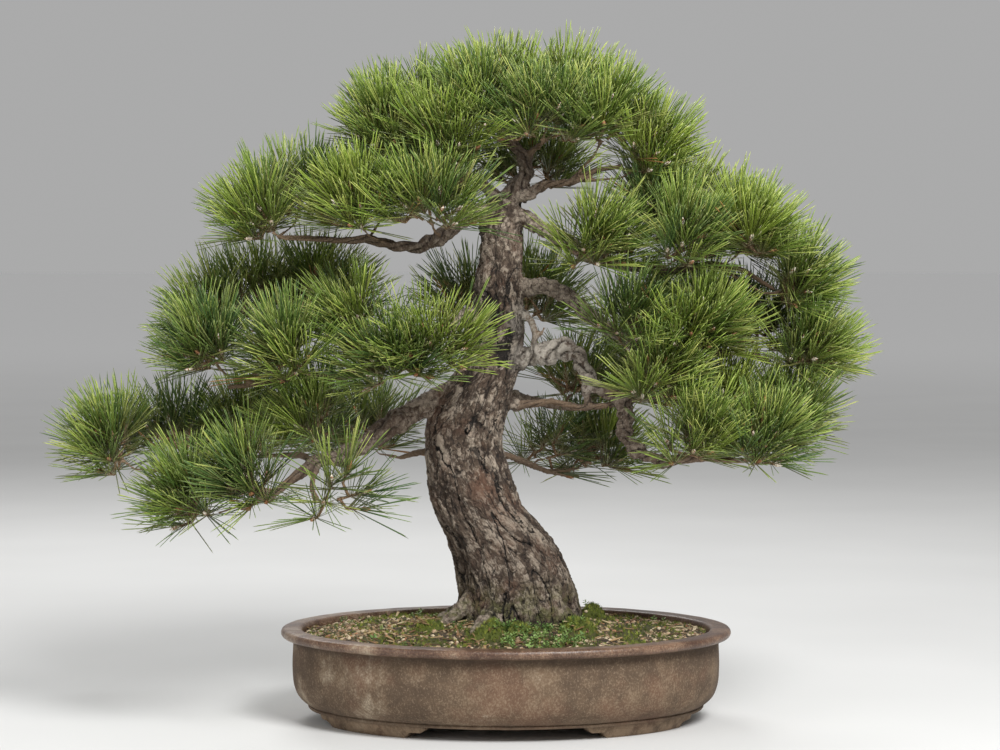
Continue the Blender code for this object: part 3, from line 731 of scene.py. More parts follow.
def thickness_at(point, normal):
    """How much wood lies behind a point of the skin."""
    inwards = Vector(-normal)
    hit = solid_wood.ray_cast(Vector(point) + inwards * 0.5 * MM, inwards, LONGEST_LOOK)
    return hit[3] if hit[3] else 3 * MM


normals = vectors_of(skin_mesh.vertices, "normal")
girth = np.array([thickness_at(point, normal) for point, normal in zip(points, normals)])[:, None]
for _ in range(12):
    girth += 0.8 * (neighbour_mean(girth) - girth)
print("wood thickness from", round(girth.min() / MM, 1), "to", round(girth.max() / MM, 1), "mm")

# %% [markdown]
# ## The grain of the bark
# Cracks and flakes run along the trunk, and the trunk leans and bends. So each point also keeps its
# place along the grain: its position with the trunk's middle at that height taken away. Two more
# numbers mark where old bark has just dropped off and where bare wood has weathered to grey.

# %% Keep the grain, the fresh bark and the bleached wood
TRUNK_GIRTH = 46 * MM
FRESH_BARK_MM = [
    ((-20, -55, 258), 24, 1), ((-112, -38, 334), 46, 0.5),
    ((-84, -20, 350), 30, 0.4), ((6, -50, 150), 14, 1),
]
BLEACHED_MM = [
    ((52, -30, 402), 36, 0.9), ((88, -40, 378), 28, 0.8), ((24, -25, 400), 22, 0.8),
    ((28, -24, 440), 26, 0.8), ((-34, -30, 520), 16, 1),
]
from_pot = points - np.array(POT_MIDDLE)
trunk_points = from_pot[girth[:, 0] > TRUNK_GIRTH]
levels = np.arange(math.floor(trunk_points[:, 2].min() / CM), trunk_points[:, 2].max() / CM) * CM
slices = [trunk_points[np.abs(trunk_points[:, 2] - level) < 1.5 * CM] for level in levels]
middles = np.array([points_here.mean(axis=0) for points_here in slices])
along_grain = from_pot.copy()
for column in (0, 1):
    along_grain[:, column] -= np.interp(from_pot[:, 2], levels, middles[:, column])


def near_spots(spots_mm):
    """A number for each point: the spot's strength in its middle and 0 outside all of them."""
    found = np.zeros(len(from_pot))
    for place, radius, strength in spots_mm:
        apart = np.linalg.norm(from_pot - np.array(place) * MM, axis=1) / (radius * MM)
        found = np.maximum(found, np.clip(1.6 - 1.3 * apart, 0, 1) * strength)
    return found


store(skin_mesh, "girth", girth)
store(skin_mesh, "grain", along_grain)
store(skin_mesh, "fresh", near_spots(FRESH_BARK_MM))
store(skin_mesh, "bleached", near_spots(BLEACHED_MM))
print("trunk from", round(levels[0], 2), "to", round(levels[-1], 2), "m above the pot's foot level")

# %% [markdown]
# The gnarled branches are twisted like ropes. Each twist is given as a path, how far the wood reaches
# from it, a number of strands and the length of one turn. From these every point near the path gets
# the strand that it lies on, worked out from its angle round the path and its way along it.

# %% Twist the gnarled branches
ROPES_MM = [
    ([(8, -5, 393), (38, -20, 406), (62, -30, 412), (79, -40, 403), (86, -50, 384), (96, -56, 370),
      (122, -60, 357), (155, -64, 359), (180, -62, 362)], 17, 3, 23),
    ([(122, -60, 357), (131, -66, 338), (126, -70, 320), (140, -75, 300), (168, -80, 290),
      (215, -84, 294)], 13, 3, 15),
    ([(8, -4, 347), (50, -24, 352), (80, -40, 346), (123, -59, 352)], 11, 3, 26),
    (LOOP_PATH, 8, 2, 14),
    ([(-120, -38, 332), (-175, -72, 296), (-205, -85, 290), (-230, -93, 272), (-285, -104, 240)], 17, 4, 50),
    ([(26, -6, 580), (44, -12, 590), (70, -14, 592), (100, -14, 606), (128, -10, 610)], 11, 3, 16),
    ([(-3, 5, 566), (12, 5, 586), (24, 4, 604), (18, 0, 624), (4, 0, 640), (-16, 0, 656)], 13, 4, 40),
    ([(-52, -22, 548), (-70, -36, 533), (-95, -44, 521), (-120, -44, 522), (-150, -40, 530),
      (-215, -30, 531)], 13, 3, 24),
]
ROPE_STEP = 2 * MM
ROPE_STRAY = 14 * MM
ROPE_FADE = 14 * MM


def unit_rows(rows):
    return rows / np.linalg.norm(rows, axis=1)[:, None]


roped = np.zeros(len(from_pot))
strand = np.zeros(len(from_pot))
for path_mm, reach_mm, strands, pitch_mm in ROPES_MM:
    path = np.array(path_mm) * MM
    reach = reach_mm * MM
    lengths = np.concatenate([[0], np.cumsum(np.linalg.norm(np.diff(path, axis=0), axis=1))])
    steps = np.arange(0, lengths[-1], ROPE_STEP)
    line = np.stack([np.interp(steps, lengths, path[:, column]) for column in range(3)], axis=1)
    ahead = unit_rows(np.gradient(line, axis=0))
    side = unit_rows(np.cross(ahead, (0.2, 1.0, 0.3)))
    third = np.cross(ahead, side)
    inside = (from_pot > line.min(axis=0) - reach) & (from_pot < line.max(axis=0) + reach)
    near = np.nonzero(inside.all(axis=1))[0]
    apart = np.linalg.norm(from_pot[near, None] - line[None], axis=2)
    closest = apart.argmin(axis=1)
    away = from_pot[near] - line[closest]
    angle = np.arctan2((away * third[closest]).sum(axis=1), (away * side[closest]).sum(axis=1))
    stray = np.array([noise.noise(Vector(place) / ROPE_STRAY) for place in from_pot[near]])
    phase = strands * angle + math.tau * steps[closest] / (pitch_mm * MM) + 1.5 * stray
    ends = np.minimum(steps[closest], lengths[-1] - steps[closest]) / ROPE_FADE
    fade = np.clip(ends, 0, 1) * np.clip(3 - 2.4 * apart.min(axis=1) / reach, 0, 1)
    better = fade > roped[near]
    roped[near[better]] = fade[better]
    strand[near[better]] = np.abs(np.sin(phase[better] / 2))
store(skin_mesh, "roped", roped)
store(skin_mesh, "strand", strand)
print("points on twisted wood:", int((roped > 0).sum()))

# %% [markdown]
# ## Bark
# Old pine bark is built of thin flakes that overlap like shingles, each tilted a little, with long
# dark cracks that wander up the trunk. A flake is a Voronoi cell: one random number sets its level and
# a random vector its tilt. A crack lies where a stretched noise crosses its middle value, because that
# gives long lines that fork and fade. The same pattern is used twice: Geometry Nodes move the points
# with it, and the paint works it out again for every pixel, so relief and colour agree.

# %% The bark pattern
def flakes(bench, place, width, length):
    """Height and seams of overlapping flakes, from 0 to 1."""
    squeezed = bench.vector("MULTIPLY", place, (1, 1, width / length))
    stir = bench.vector("SUBTRACT", bench.clouds(squeezed, 1.1 * width, 4, 0.65, 1), (0.5, 0.5, 0.5))
    squeezed = bench.summed(squeezed, bench.scaled(stir, 1.5 * width))
    middle = bench.patches(squeezed, width, output="Position")
    chance = bench.node("ShaderNodeTexWhiteNoise", inputs={"Vector": middle})
    tilt = bench.vector("SUBTRACT", chance.also("Color"), (0.5, 0.5, 0.5))
    slope = bench.vector("DOT_PRODUCT", bench.vector("SUBTRACT", squeezed, middle), tilt)
    edge = bench.patches(squeezed, width, "DISTANCE_TO_EDGE")
    return chance.also("Value") * 0.6 + slope * (1.5 / width) + 0.2, 1 - bench.step(edge, 0.0, 0.13)


def cracks(bench, place, apart, stretch, half_width):
    """Long wandering cracks, 1 in the crack and 0 outside."""
    squeezed = bench.vector("MULTIPLY", place, (1, 1, 1 / stretch))
    ripple = bench.clouds(squeezed, apart, 1, 0.4) + bench.clouds(place, apart / 5, 3) * 0.07 - 0.035
    away = bench.maths("ABSOLUTE", ripple - 0.5)
    here = bench.step(bench.clouds(place, 1.1 * apart, 2), 0.38, 0.5)
    return (1 - bench.step(away, half_width * 0.2, half_width)) * here


def bark_pattern(bench, place, grain, thick, worn):
    """Relief, seams and cracks of the bark for any thickness of wood; worn bark is smoother."""
    old = bench.step(thick, 34 * MM, 62 * MM)
    grown_up = bench.step(thick, 5 * MM, 16 * MM)
    plate_relief, plate_seam = flakes(bench, grain, 17 * MM, 27 * MM)
    trunk_relief, trunk_seam = flakes(bench, grain, 5.4 * MM, 7.5 * MM)
    branch_relief, branch_seam = flakes(bench, place, 6.5 * MM, 6.5 * MM)
    relief = (trunk_relief * 0.42 + plate_relief * 0.58) * old + branch_relief * (1 - old)
    seam = (trunk_seam * 0.35 + plate_seam * 0.8) * old + branch_seam * (1 - old) * 0.6
    crack = cracks(bench, grain, 26 * MM, 4.0, 0.017) * old
    split = cracks(bench, grain, 11 * MM, 3.5, 0.026) * (old * 0.75 + 0.25) * grown_up
    calm = 1 - worn
    return relief * grown_up * calm, seam * grown_up * calm, crack, split * calm


def worn_by(fresh, roped):
    """How far fresh bark and twisted wood have lost their flakes."""
    return fresh * 0.5 + roped * 0.55


print("pattern ready")

# %% [markdown]
# A recipe is a Geometry Nodes tree with named inputs for its sizes. Its methods are shorthand for
# what the recipes here share: random numbers, turning a copy to face a direction, planting copies of
# a small thing on points, and making a plain mesh of them with one finish.

# %% The recipe class
class Recipe(Bench):
    """A Geometry Nodes tree with named inputs."""

    def __init__(self, name, numbers):
        super().__init__(bpy.data.node_groups.new(name, "GeometryNodeTree"))
        self.tree.is_modifier = True
        faces = self.tree.interface
        faces.new_socket("Geometry", in_out="OUTPUT", socket_type="NodeSocketGeometry")
        faces.new_socket("Geometry", in_out="INPUT", socket_type="NodeSocketGeometry")
        for label, value in numbers.items():
            kind = "NodeSocketInt" if isinstance(value, int) else "NodeSocketFloat"
            faces.new_socket(label, in_out="INPUT", socket_type=kind).default_value = value
        self.start = self.tree.nodes.new("NodeGroupInput")
        self.end = self.tree.nodes.new("NodeGroupOutput")

    def given(self, label):
        return Wire(self, self.start.outputs[label])

    def named(self, name, kind="FLOAT"):
        return self.node("GeometryNodeInputNamedAttribute", {"data_type": kind}, {"Name": name})

    def random(self, low, high, seed):
        """A random number, or a random vector if low and high are vectors."""
        kind, first, output = ("FLOAT_VECTOR", 0, 0) if isinstance(low, tuple) else ("FLOAT", 2, 1)
        inputs = {first: low, first + 1: high, "Seed": seed}
        return self.node("FunctionNodeRandomValue", {"data_type": kind}, inputs, output)

    def aimed(self, way):
        """The rotation that turns Z to a direction."""
        return self.node("FunctionNodeAlignRotationToVector", {"axis": "Z"}, {"Vector": way})

    def spun(self, rotation, angle):
        """A rotation with a turn round its own Z before it."""
        inputs = {"Rotation": rotation, "Rotate By": self.node("ShaderNodeCombineXYZ", inputs={"Z": angle})}
        return self.node("FunctionNodeRotateRotation", {"rotation_space": "LOCAL"}, inputs)

    def swung(self, start, side, angle):
        """A direction swung from start towards side by an angle."""
        return self.summed(
            self.scaled(start, self.maths("COSINE", angle)), self.scaled(side, self.maths("SINE", angle)),
        )

    def planted(self, thing, points, numbers, **inputs):
        """Copies of a thing on points. Each copy keeps its own numbers for the paint."""
        source = self.node("GeometryNodeObjectInfo", inputs={"Object": thing}, output="Geometry")
        inputs = {"Points": points, "Instance": source, **inputs}
        copies = self.node("GeometryNodeInstanceOnPoints", inputs=inputs)
        for name, value in numbers.items():
            inputs = {"Geometry": copies, "Name": name, "Value": value}
            settings = {"data_type": "FLOAT", "domain": "INSTANCE"}
            copies = self.node("GeometryNodeStoreNamedAttribute", settings, inputs)
        return copies

    def joined(self, *parts):
        join = self.node("GeometryNodeJoinGeometry")
        for part in parts:
            self.tree.links.new(part.socket, join.socket.node.inputs[0])
        return join

    def painted(self, geometry, finish):
        """Copies turned into plain mesh, with one finish."""
        geometry = self.node("GeometryNodeRealizeInstances", inputs={"Geometry": geometry})
        inputs = {"Geometry": geometry, "Material": finish.material}
        return self.node("GeometryNodeSetMaterial", inputs=inputs)

    def finish(self, geometry):
        self.connect(geometry, self.end.inputs[0])

    def grow(self, mesh, **settings):
        """Run the recipe on a mesh and return the plain mesh that it gives."""
        thing = placed("growing", mesh)
        modifier = thing.modifiers.new("recipe", "NODES")
        modifier.node_group = self.tree
        for item in self.tree.interface.items_tree:
            label = item.name.lower().replace(" ", "_")
            if item.item_type == "SOCKET" and item.in_out == "INPUT" and label in settings:
                modifier[item.identifier] = settings[label]
        return evaluated_mesh(thing)


print("recipe class ready")

# %% A recipe for bark
bark = Recipe("bark", {
    "Flake Height": 3.0 * MM, "Crack Depth": 3.6 * MM, "Split Depth": 1.3 * MM, "Knuckle": 5 * MM,
    "Scar Rim": 2.6 * MM, "Strand Height": 6.2 * MM,
})
position = bark.node("GeometryNodeInputPosition")
normal = bark.node("GeometryNodeInputNormal")
thick = bark.named("girth")
grain = bark.named("grain", "FLOAT_VECTOR")
scar = bark.named("fresh")
twisted = bark.named("roped")
relief, seam, crack, split = bark_pattern(bark, position, grain, thick, worn_by(scar, twisted))
knuckle = bark.clouds(position, 15 * MM, 2) - 0.5
knuckle = knuckle * bark.step(thick, 6 * MM, 18 * MM) * (1 - bark.step(thick, 34 * MM, 60 * MM) * 0.6)
lift = relief * bark.given("Flake Height") - seam * bark.given("Flake Height") * 0.3
lift = lift - crack * bark.given("Crack Depth") - split * bark.given("Split Depth")
lift = lift + knuckle * bark.given("Knuckle") - 0.6 * MM
rope = (bark.named("strand") - 0.62) * twisted * bark.step(thick, 5 * MM, 14 * MM)
lift = lift + rope * bark.given("Strand Height")
lift = lift + scar * (1 - scar) * bark.given("Scar Rim") * 4.0 - scar * bark.given("Scar Rim") * 0.5
inputs = {"Geometry": bark.given("Geometry"), "Offset": bark.scaled(normal, lift)}
bark.finish(bark.node("GeometryNodeSetPosition", inputs=inputs))
bark_mesh = bark.grow(skin_mesh)
print("bark recipe nodes:", len(bark.tree.nodes), "faces:", len(bark_mesh.polygons))

# %% [markdown]
# Cracks are nearly black-brown. A flake's colour follows its level: low ones are a warm brown, high
# ones a paler, weathered grey, with a few whitish edges. Where a flake has just dropped off the bark is
# reddish, dead wood is bleached, and the foot of the trunk has a film of green.

# %% Paint the bark
bark_paint = Finish("pine_bark")
step = bark_paint.step
marks = ("girth", "fresh", "roped", "strand")
thick, fresh, twisted, strands = [bark_paint.attribute(name) for name in marks]
grain = bark_paint.attribute("grain", "Vector")
worn = worn_by(fresh, twisted)
low_down = bark_paint.part(bark_paint.place, "Z")
relief, seam, crack, split = bark_pattern(bark_paint, bark_paint.place, grain, thick, worn)
fine = bark_paint.clouds(bark_paint.vector("MULTIPLY", grain, (1, 1, 0.7)), 2.6 * MM, 4, 0.7)
cloud = bark_paint.noise(42 * MM, 3, 0.6)
level = relief * 0.58 + fine * 0.72 + cloud * 0.4 - 0.22 + fresh * 0.05
film = step(low_down, 0.175, 0.11) * step(bark_paint.noise(16 * MM, 4), 0.42, 0.6)
trunk = bark_paint.ramp(
    level, (0.26, (38, 30, 24)), (0.44, (64, 51, 41)), (0.6, (88, 73, 60)), (0.82, (164, 150, 134)),
)
trunk = bark_paint.coats(
    trunk, ((112, 78, 58), step(cloud, 0.5, 0.68) * 0.4), ((118, 80, 60), fresh * 0.62),
)
branch = bark_paint.mix((88, 72, 60), (164, 150, 134), step(relief * 0.5 + fine * 0.7, 0.3, 0.72))
twig = bark_paint.mix((112, 88, 68), (166, 142, 116), fine)
wood = bark_paint.mix(branch, trunk, step(thick, 26 * MM, 52 * MM) + fresh * 0.6)
surface = bark_paint.coats(
    twig,
    (wood, step(thick, 4 * MM, 12 * MM)),
    ((206, 198, 186), bark_paint.attribute("bleached") * step(level, 0.22, 0.5) * 0.8),
    ((58, 46, 37), step(low_down, 0.34, 0.16) * 0.2),
    ((96, 100, 52), film * 0.6),
    ((46, 36, 29), step(strands, 0.45, 0.08) * twisted * 0.85),
    ((48, 37, 30), step(seam, 0.2, 1.0) * 0.5),
    ((34, 26, 21), step(split, 0.15, 0.8) * 0.75),
    ((22, 17, 14), step(crack, 0.1, 0.7) * 0.92),
)
height = relief * 0.9 + fine * 0.6 - seam * 0.4 - crack - split * 0.6
bark_paint.paint(surface, 0.88, height, 1.0, 3.2 * MM)
print("bark nodes:", len(bark_paint.tree.nodes))

# %% Cut the tree into pieces that aren't too big
TRUNK_REACH = 95 * MM
TRUNK_TOP = 0.60
LEFT_OF = -20 * MM


def part_of_mesh(mesh, name, keep):
    """The chosen faces as a mesh of their own, with its cuts closed."""
    shape = bmesh.new()
    shape.from_mesh(mesh)
    gone = [face for face, kept in zip(shape.faces, keep) if not kept]
    bmesh.ops.delete(shape, geom=gone, context="FACES")
    bmesh.ops.holes_fill(shape, edges=[edge for edge in shape.edges if edge.is_boundary], sides=0)
    return mesh_of(name, shape)


middles = vectors_of(bark_mesh.polygons, "center") - np.array(POT_MIDDLE)
near_trunk = (np.abs(middles[:, 0]) < TRUNK_REACH) & (middles[:, 2] < TRUNK_TOP)
TREE_PARTS = {
    "trunk_bark": near_trunk,
    "left_branches": ~near_trunk & (middles[:, 0] < LEFT_OF),
    "right_branches": ~near_trunk & (middles[:, 0] >= LEFT_OF),
}
for name, keep in TREE_PARTS.items():
    piece_mesh = part_of_mesh(bark_mesh, name, keep)
    piece_mesh.shade_smooth()
    add_piece(name, piece_mesh, "pine_bark", "wood", finish=bark_paint)

# %% [markdown]
# ## The ground in the pot
# The packed soil is a plain mound. A fine copy of it gets the unevenness of real ground and six raised
# cushions of moss, most of them round the trunk. It is closed over with voxels like the wood, so the
# hollow that the roots stand in stays as it is. Only points that face up are moved.

# %% Model the ground
SOIL_VOXEL = 4.2 * MM
BIG_LUMP = 22 * MM
SMALL_LUMP = 8 * MM
LUMP_RISE = 2.2 * MM
CUSHIONS_MM = [
    ((-22, -84), 21, 14), ((12, -82), 15, 9), ((80, -64), 18, 13),
    ((96, 6), 15, 14), ((-84, -52), 17, 7), ((-60, 16), 16, 8),
]
ground_mesh = voxel_skin(welded("soil"), SOIL_VOXEL)
places = vectors_of(ground_mesh.vertices, "co") - np.array(POT_MIDDLE, np.float32)
upwards = np.clip(vectors_of(ground_mesh.vertices, "normal")[:, 2] * 2 - 0.8, 0, 1)
upwards *= places[:, 2] > places[:, 2].max() - 30 * MM
cushion = np.zeros(len(places))
rise = np.zeros(len(places))
for (x, y), radius, height in CUSHIONS_MM:
    apart = np.hypot(places[:, 0] - x * MM, places[:, 1] - y * MM) / (radius * MM)
    dome = np.sqrt(np.clip(1 - apart ** 2, 0, 1))
    cushion = np.maximum(cushion, dome)
    rise = np.maximum(rise, dome * height * MM)
spots = [Vector(place) for place in places]
lumps = np.array([noise.noise(spot / BIG_LUMP) + 0.7 * noise.noise(spot / SMALL_LUMP) for spot in spots])
places[:, 2] += (upwards * (rise + lumps * LUMP_RISE)).astype(np.float32)
ground_mesh.vertices.foreach_set("co", (places + np.array(POT_MIDDLE, np.float32)).ravel())
ground_mesh.update()
store(ground_mesh, "upwards", upwards)
store(ground_mesh, "cushion", cushion)
print("ground:", len(ground_mesh.polygons), "faces, cushions:", len(CUSHIONS_MM))

# %% [markdown]
# ## What lies and grows on the ground
# Grit, dead needles and flakes of bark, moss and small leafy weeds are four kinds of small thing. Each
# is modelled once, and one recipe strews any of them: points are spread over the faces that face up,
# more of them where a cloud of noise is dense, each with its own turn, lean and size.

# %% Model a grain and a dead flake
def lumpy_grain(shape):
    bmesh.ops.create_icosphere(shape, subdivisions=1, radius=1 * MM)
    for vert in shape.verts:
        vert.co *= 1 + 0.35 * noise.noise(vert.co / (0.9 * MM))
        vert.co.z *= 0.7


def dead_flake(shape):
    """A curled strip, narrower at one end."""
    bmesh.ops.create_cube(shape, size=1)
    for vert in shape.verts:
        vert.co.x *= (0.8 if vert.co.y > 0 else 1.6) * MM
        vert.co.y *= 7.5 * MM
        vert.co.z = vert.co.z * 0.5 * MM + 90 * vert.co.y ** 2


print("grain and flake ready")

# %% Model a sprig of moss and a leafy weed
SPIRAL = 2.4


def blade(shape, foot, tip, width):
    """A thin three-sided spike from a foot to a tip."""
    way = (tip - foot).normalized()
    side = way.cross(Vector((0.3, 0.2, 0.9))).normalized()
    ring = [shape.verts.new(foot + Quaternion(way, math.tau * i / 3) @ side * width) for i in range(3)]
    shape.faces.new(list(reversed(ring)))
    fan(shape, ring, shape.verts.new(tip))


def moss_sprig(shape):
    for i in range(5):
        turn = SPIRAL * i
        lean = Vector((math.cos(turn), math.sin(turn), 0)) * (0.5 + 0.25 * i) * MM
        foot = lean * 0.3 - Vector((0, 0, 0.5 * MM))
        blade(shape, foot, lean + Vector((0, 0, (3.2 - 0.3 * i) * MM)), 0.42 * MM)


def leaf(shape, foot, way, length, width):
    """A small folded leaf, a closed wedge with a raised middle."""
    side = way.cross(Vector((0, 0, 1))).normalized() * width / 2
    middle = foot + way * length * 0.55
    corners = (middle + side, middle - side, foot, foot + way * length, middle - Vector((0, 0, width * 0.3)))
    left, right, start, tip, under = [shape.verts.new(corner) for corner in corners]
    for a, b in ((start, left), (left, tip), (tip, right), (right, start)):
        shape.faces.new((a, b, under))
    shape.faces.new((start, right, left))
    shape.faces.new((tip, left, right))


def leafy_weed(shape):
    for i in range(7):
        turn = SPIRAL * i
        up = (1.2 + 0.85 * i) * MM
        way = Vector((math.cos(turn), math.sin(turn), 0.25 + 0.07 * i)).normalized()
        leaf(shape, Vector((0, 0, up)), way, (5.6 - 0.42 * i) * MM, (3.0 - 0.22 * i) * MM)
    blade(shape, Vector((0, 0, -1 * MM)), Vector((0, 0, 8.6 * MM)), 0.45 * MM)
    bmesh.ops.recalc_face_normals(shape, faces=shape.faces[:])


print("moss and weed ready")

# %% Where each kind is found
PATCH = 34 * MM
WEEDS_AT = POT_MIDDLE + Vector((40, -98, 95)) * MM
LITTER_AT = POT_MIDDLE + Vector((-96, -52, 95)) * MM


def on_cushion(recipe):
    return recipe.step(recipe.named("cushion"), 0.0, 0.3)


def near_the_ends(recipe, place):
    """0 near the trunk and 1 towards the two ends of the pot."""
    away = recipe.maths("ABSOLUTE", recipe.part(place, "X") - (POT_MIDDLE.x + 12 * MM))
    return recipe.step(away + recipe.clouds(place, 30 * MM, 2) * 60 * MM, 150 * MM, 225 * MM)


def mossy(recipe, place):
    """Thick on the cushions, patchy elsewhere, and thin towards the ends."""
    cloud = recipe.step(recipe.clouds(place, PATCH), 0.38, 0.54)
    return on_cushion(recipe) * 3.2 + (cloud * 0.9 + 0.08) * (1 - near_the_ends(recipe, place) * 0.55)


def stony(recipe, place):
    """Between the moss, and thick towards the ends."""
    cloud = recipe.step(recipe.clouds(place, PATCH), 0.6, 0.46)
    return (cloud * 0.9 + near_the_ends(recipe, place)) * (1 - on_cushion(recipe))


def weedy(recipe, place):
    """In a patch at the front, a little right of the middle, and a few elsewhere."""
    away = recipe.vector("DISTANCE", place, tuple(WEEDS_AT))
    patch = 1 - recipe.step(away + recipe.clouds(place, 18 * MM) * 60 * MM, 68 * MM, 88 * MM)
    return patch + recipe.step(recipe.clouds(place, 26 * MM, 2), 0.62, 0.7) * 0.3


def littered(recipe, place):
    """Everywhere a little, and most of it left of the trunk."""
    return 1.25 - recipe.step(recipe.vector("DISTANCE", place, tuple(LITTER_AT)), 30 * MM, 110 * MM)


print("crowding rules ready")

# %% The strewing recipe
def strewing(name, thing, finish, crowd):
    """A recipe that strews one small thing; crowd gives the share of places that are taken."""
    recipe = Recipe(name, {
        "Per Square Metre": 20000.0, "Smallest": 0.6, "Biggest": 1.4, "Lean": 0.5, "Sink": 0.3 * MM,
        "Seed": 1,
    })
    seed = recipe.given("Seed")
    smallest = recipe.given("Smallest")
    place = recipe.node("GeometryNodeInputPosition")
    density = recipe.given("Per Square Metre") * crowd(recipe, place) * recipe.named("upwards")
    inputs = {"Mesh": recipe.given("Geometry"), "Density": density, "Seed": seed}
    points = recipe.node("GeometryNodeDistributePointsOnFaces", inputs=inputs, output="Points")
    lean = recipe.scaled(recipe.random((-1, -1, -1), (1, 1, 1), seed + 1), recipe.given("Lean"))
    turned = recipe.aimed(recipe.summed(lean, (0, 0, 1)))
    turned = recipe.spun(turned, recipe.random(0.0, math.tau, seed + 2))
    sink = recipe.node("ShaderNodeCombineXYZ", inputs={"Z": recipe.given("Sink") * -1.0})
    sunk = recipe.node("GeometryNodeSetPosition", inputs={"Geometry": points, "Offset": sink})
    size = smallest + (recipe.given("Biggest") - smallest) * recipe.random(0.0, 1.0, seed + 3) ** 2.0
    numbers = {"tint": recipe.random(0.0, 1.0, seed + 4)}
    strewn = recipe.planted(thing, sunk, numbers, Rotation=turned, Scale=size)
    recipe.finish(recipe.painted(strewn, finish))
    return recipe


EASE = 1.0
SMALL_THINGS = {
    "grit": (lumpy_grain, "pale_grit", stony, dict(
        per_square_metre=34000.0 * EASE, smallest=0.8, biggest=3.4, seed=3)),
    "moss": (moss_sprig, "green_moss", mossy, dict(
        per_square_metre=42000.0 * EASE, smallest=0.8, biggest=1.8, seed=13)),
    "weeds": (leafy_weed, "small_weeds", weedy, dict(
        per_square_metre=18000.0, smallest=0.7, biggest=1.3, seed=23)),
    "litter": (dead_flake, "dead_litter", littered, dict(
        per_square_metre=11000.0, smallest=0.6, biggest=1.9, lean=0.45, sink=-0.5 * MM, seed=33)),
}
paints = {}
for name, (maker, finish_name, crowd, settings) in SMALL_THINGS.items():
    shape = bmesh.new()
    maker(shape)
    thing = bpy.data.objects.new("one_" + name, mesh_of("one_" + name, shape))
    paints[name] = Finish(finish_name)
    strewn = strewing(name, thing, paints[name], crowd).grow(ground_mesh.copy(), **settings)
    add_piece(name, strewn, "gravelly_soil")

# %% [markdown]
# ## Paint for the ground
# Between grit and moss the soil is dark brown crumb. The grit is pale pumice and tan or rust-coloured
# clay. Moss goes from olive to fresh green, and the weeds are brighter than anything round them.

# %% Paint the soil
crumb = Finish("dark_soil")
lump = crumb.noise(7 * MM, 5, 0.7)
speck = crumb.patches(crumb.place, 2.6 * MM)
surface = crumb.coats(
    (40, 32, 22),
    ((88, 73, 52), crumb.step(lump, 0.36, 0.66)),
    ((126, 112, 86), crumb.step(speck, 0.3, 0.1) * crumb.step(lump, 0.42, 0.6) * 0.6),
    ((70, 72, 30), crumb.step(crumb.noise(PATCH), 0.4, 0.54) * 0.7),
    ((76, 84, 28), crumb.step(crumb.attribute("cushion"), 0.0, 0.25) * 0.9),
)
crumb.paint(surface, 0.96, lump - speck * 0.4, 0.9, 2 * MM)
ground_mesh.shade_smooth()
add_piece("soil_fine", ground_mesh, "gravelly_soil", "soil", finish=crumb)

# %% Paint what lies on it
grit, moss, weeds, litter = paints.values()
tints = {name: finish.attribute("tint") for name, finish in paints.items()}
stone = grit.ramp(
    tints["grit"],
    (0.0, (88, 70, 52)), (0.3, (142, 120, 92)), (0.75, (206, 190, 160)), (1.0, (154, 102, 70)),
)
green = moss.ramp(
    tints["moss"],
    (0.0, (60, 70, 24)), (0.5, (96, 108, 34)), (0.9, (138, 146, 56)), (1.0, (146, 118, 66)),
)
leaf_green = weeds.mix((84, 116, 56), (136, 160, 90), tints["weeds"])
straw = litter.ramp(
    tints["litter"],
    (0.0, (72, 52, 36)), (0.4, (118, 86, 58)), (0.75, (164, 136, 96)), (1.0, (196, 180, 140)),
)
grit.paint(stone, 0.95, grit.noise(0.8 * MM), 0.7, 0.4 * MM)
moss.paint(green, 0.85 - tints["moss"] * 0.1)
weeds.paint(leaf_green, 0.62 - tints["weeds"] * 0.12)
litter.paint(straw, 0.82 - tints["litter"] * 0.1)
print("painted:", ", ".join(paints))

# %% [markdown]
# ## The drainage screens
# A square of black plastic mesh lies over each drain hole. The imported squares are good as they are,
# so they only get their scuffed plastic.

# %% Paint the screens
plastic = Finish("black_mesh")
scuff = plastic.noise(3 * MM)
plastic.paint(plastic.mix((28, 28, 29), (70, 68, 64), plastic.step(scuff, 0.55, 0.8)), 0.4 + scuff * 0.3)
for side in ("left", "right"):
    screen = "drainage_screen_" + side
    add_piece("screen_" + side, mesh_of("screen", welded(screen)), "plastic_mesh", screen, finish=plastic)

# %% [markdown]
# ## Reading the shoots
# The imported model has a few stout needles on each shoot, which show where the foliage reaches. Their
# feet lie along the shoot's slim core. So needles whose feet are close together belong to one shoot,
# and the line through those feet is the shoot's axis. A real pad of foliage is fuller, so side shoots
# fork off each shoot, fewer of them on the small, open sprays.

# %% Find the shoots of every spray
SAME_SHOOT = 9 * MM
CORE_LENGTH = 18 * MM
LIFT = 0.34
ENOUGH_FOR_A_LINE = 4


def shoots_of(pairs):
    """The foot and the axis of each shoot, from its needles' feet and tips."""
    feet = np.array([foot for foot, _ in pairs])
    label = np.arange(len(feet))
    apart = np.linalg.norm(feet[:, None] - feet[None], axis=2)
    for i, j in zip(*np.nonzero(apart < SAME_SHOOT)):
        label[label == label[i]] = label[j]
    found = []
    for group in np.unique(label):
        chosen = [pairs[i] for i in np.nonzero(label == group)[0]]
        lean = sum(((tip - foot).normalized() for foot, tip in chosen), Vector())
        lean -= LIFT * len(chosen) * Vector((0, 0, 1))
        middle = sum((foot for foot, _ in chosen), Vector()) / len(chosen)
        axis = lean.normalized()
        if len(chosen) > ENOUGH_FOR_A_LINE:
            axis = Vector(np.linalg.svd(np.array([foot - middle for foot, _ in chosen]))[2][0])
            axis = axis if axis.dot(lean) > 0 else -axis
        found.append((middle - axis * CORE_LENGTH / 2, axis))
    return found


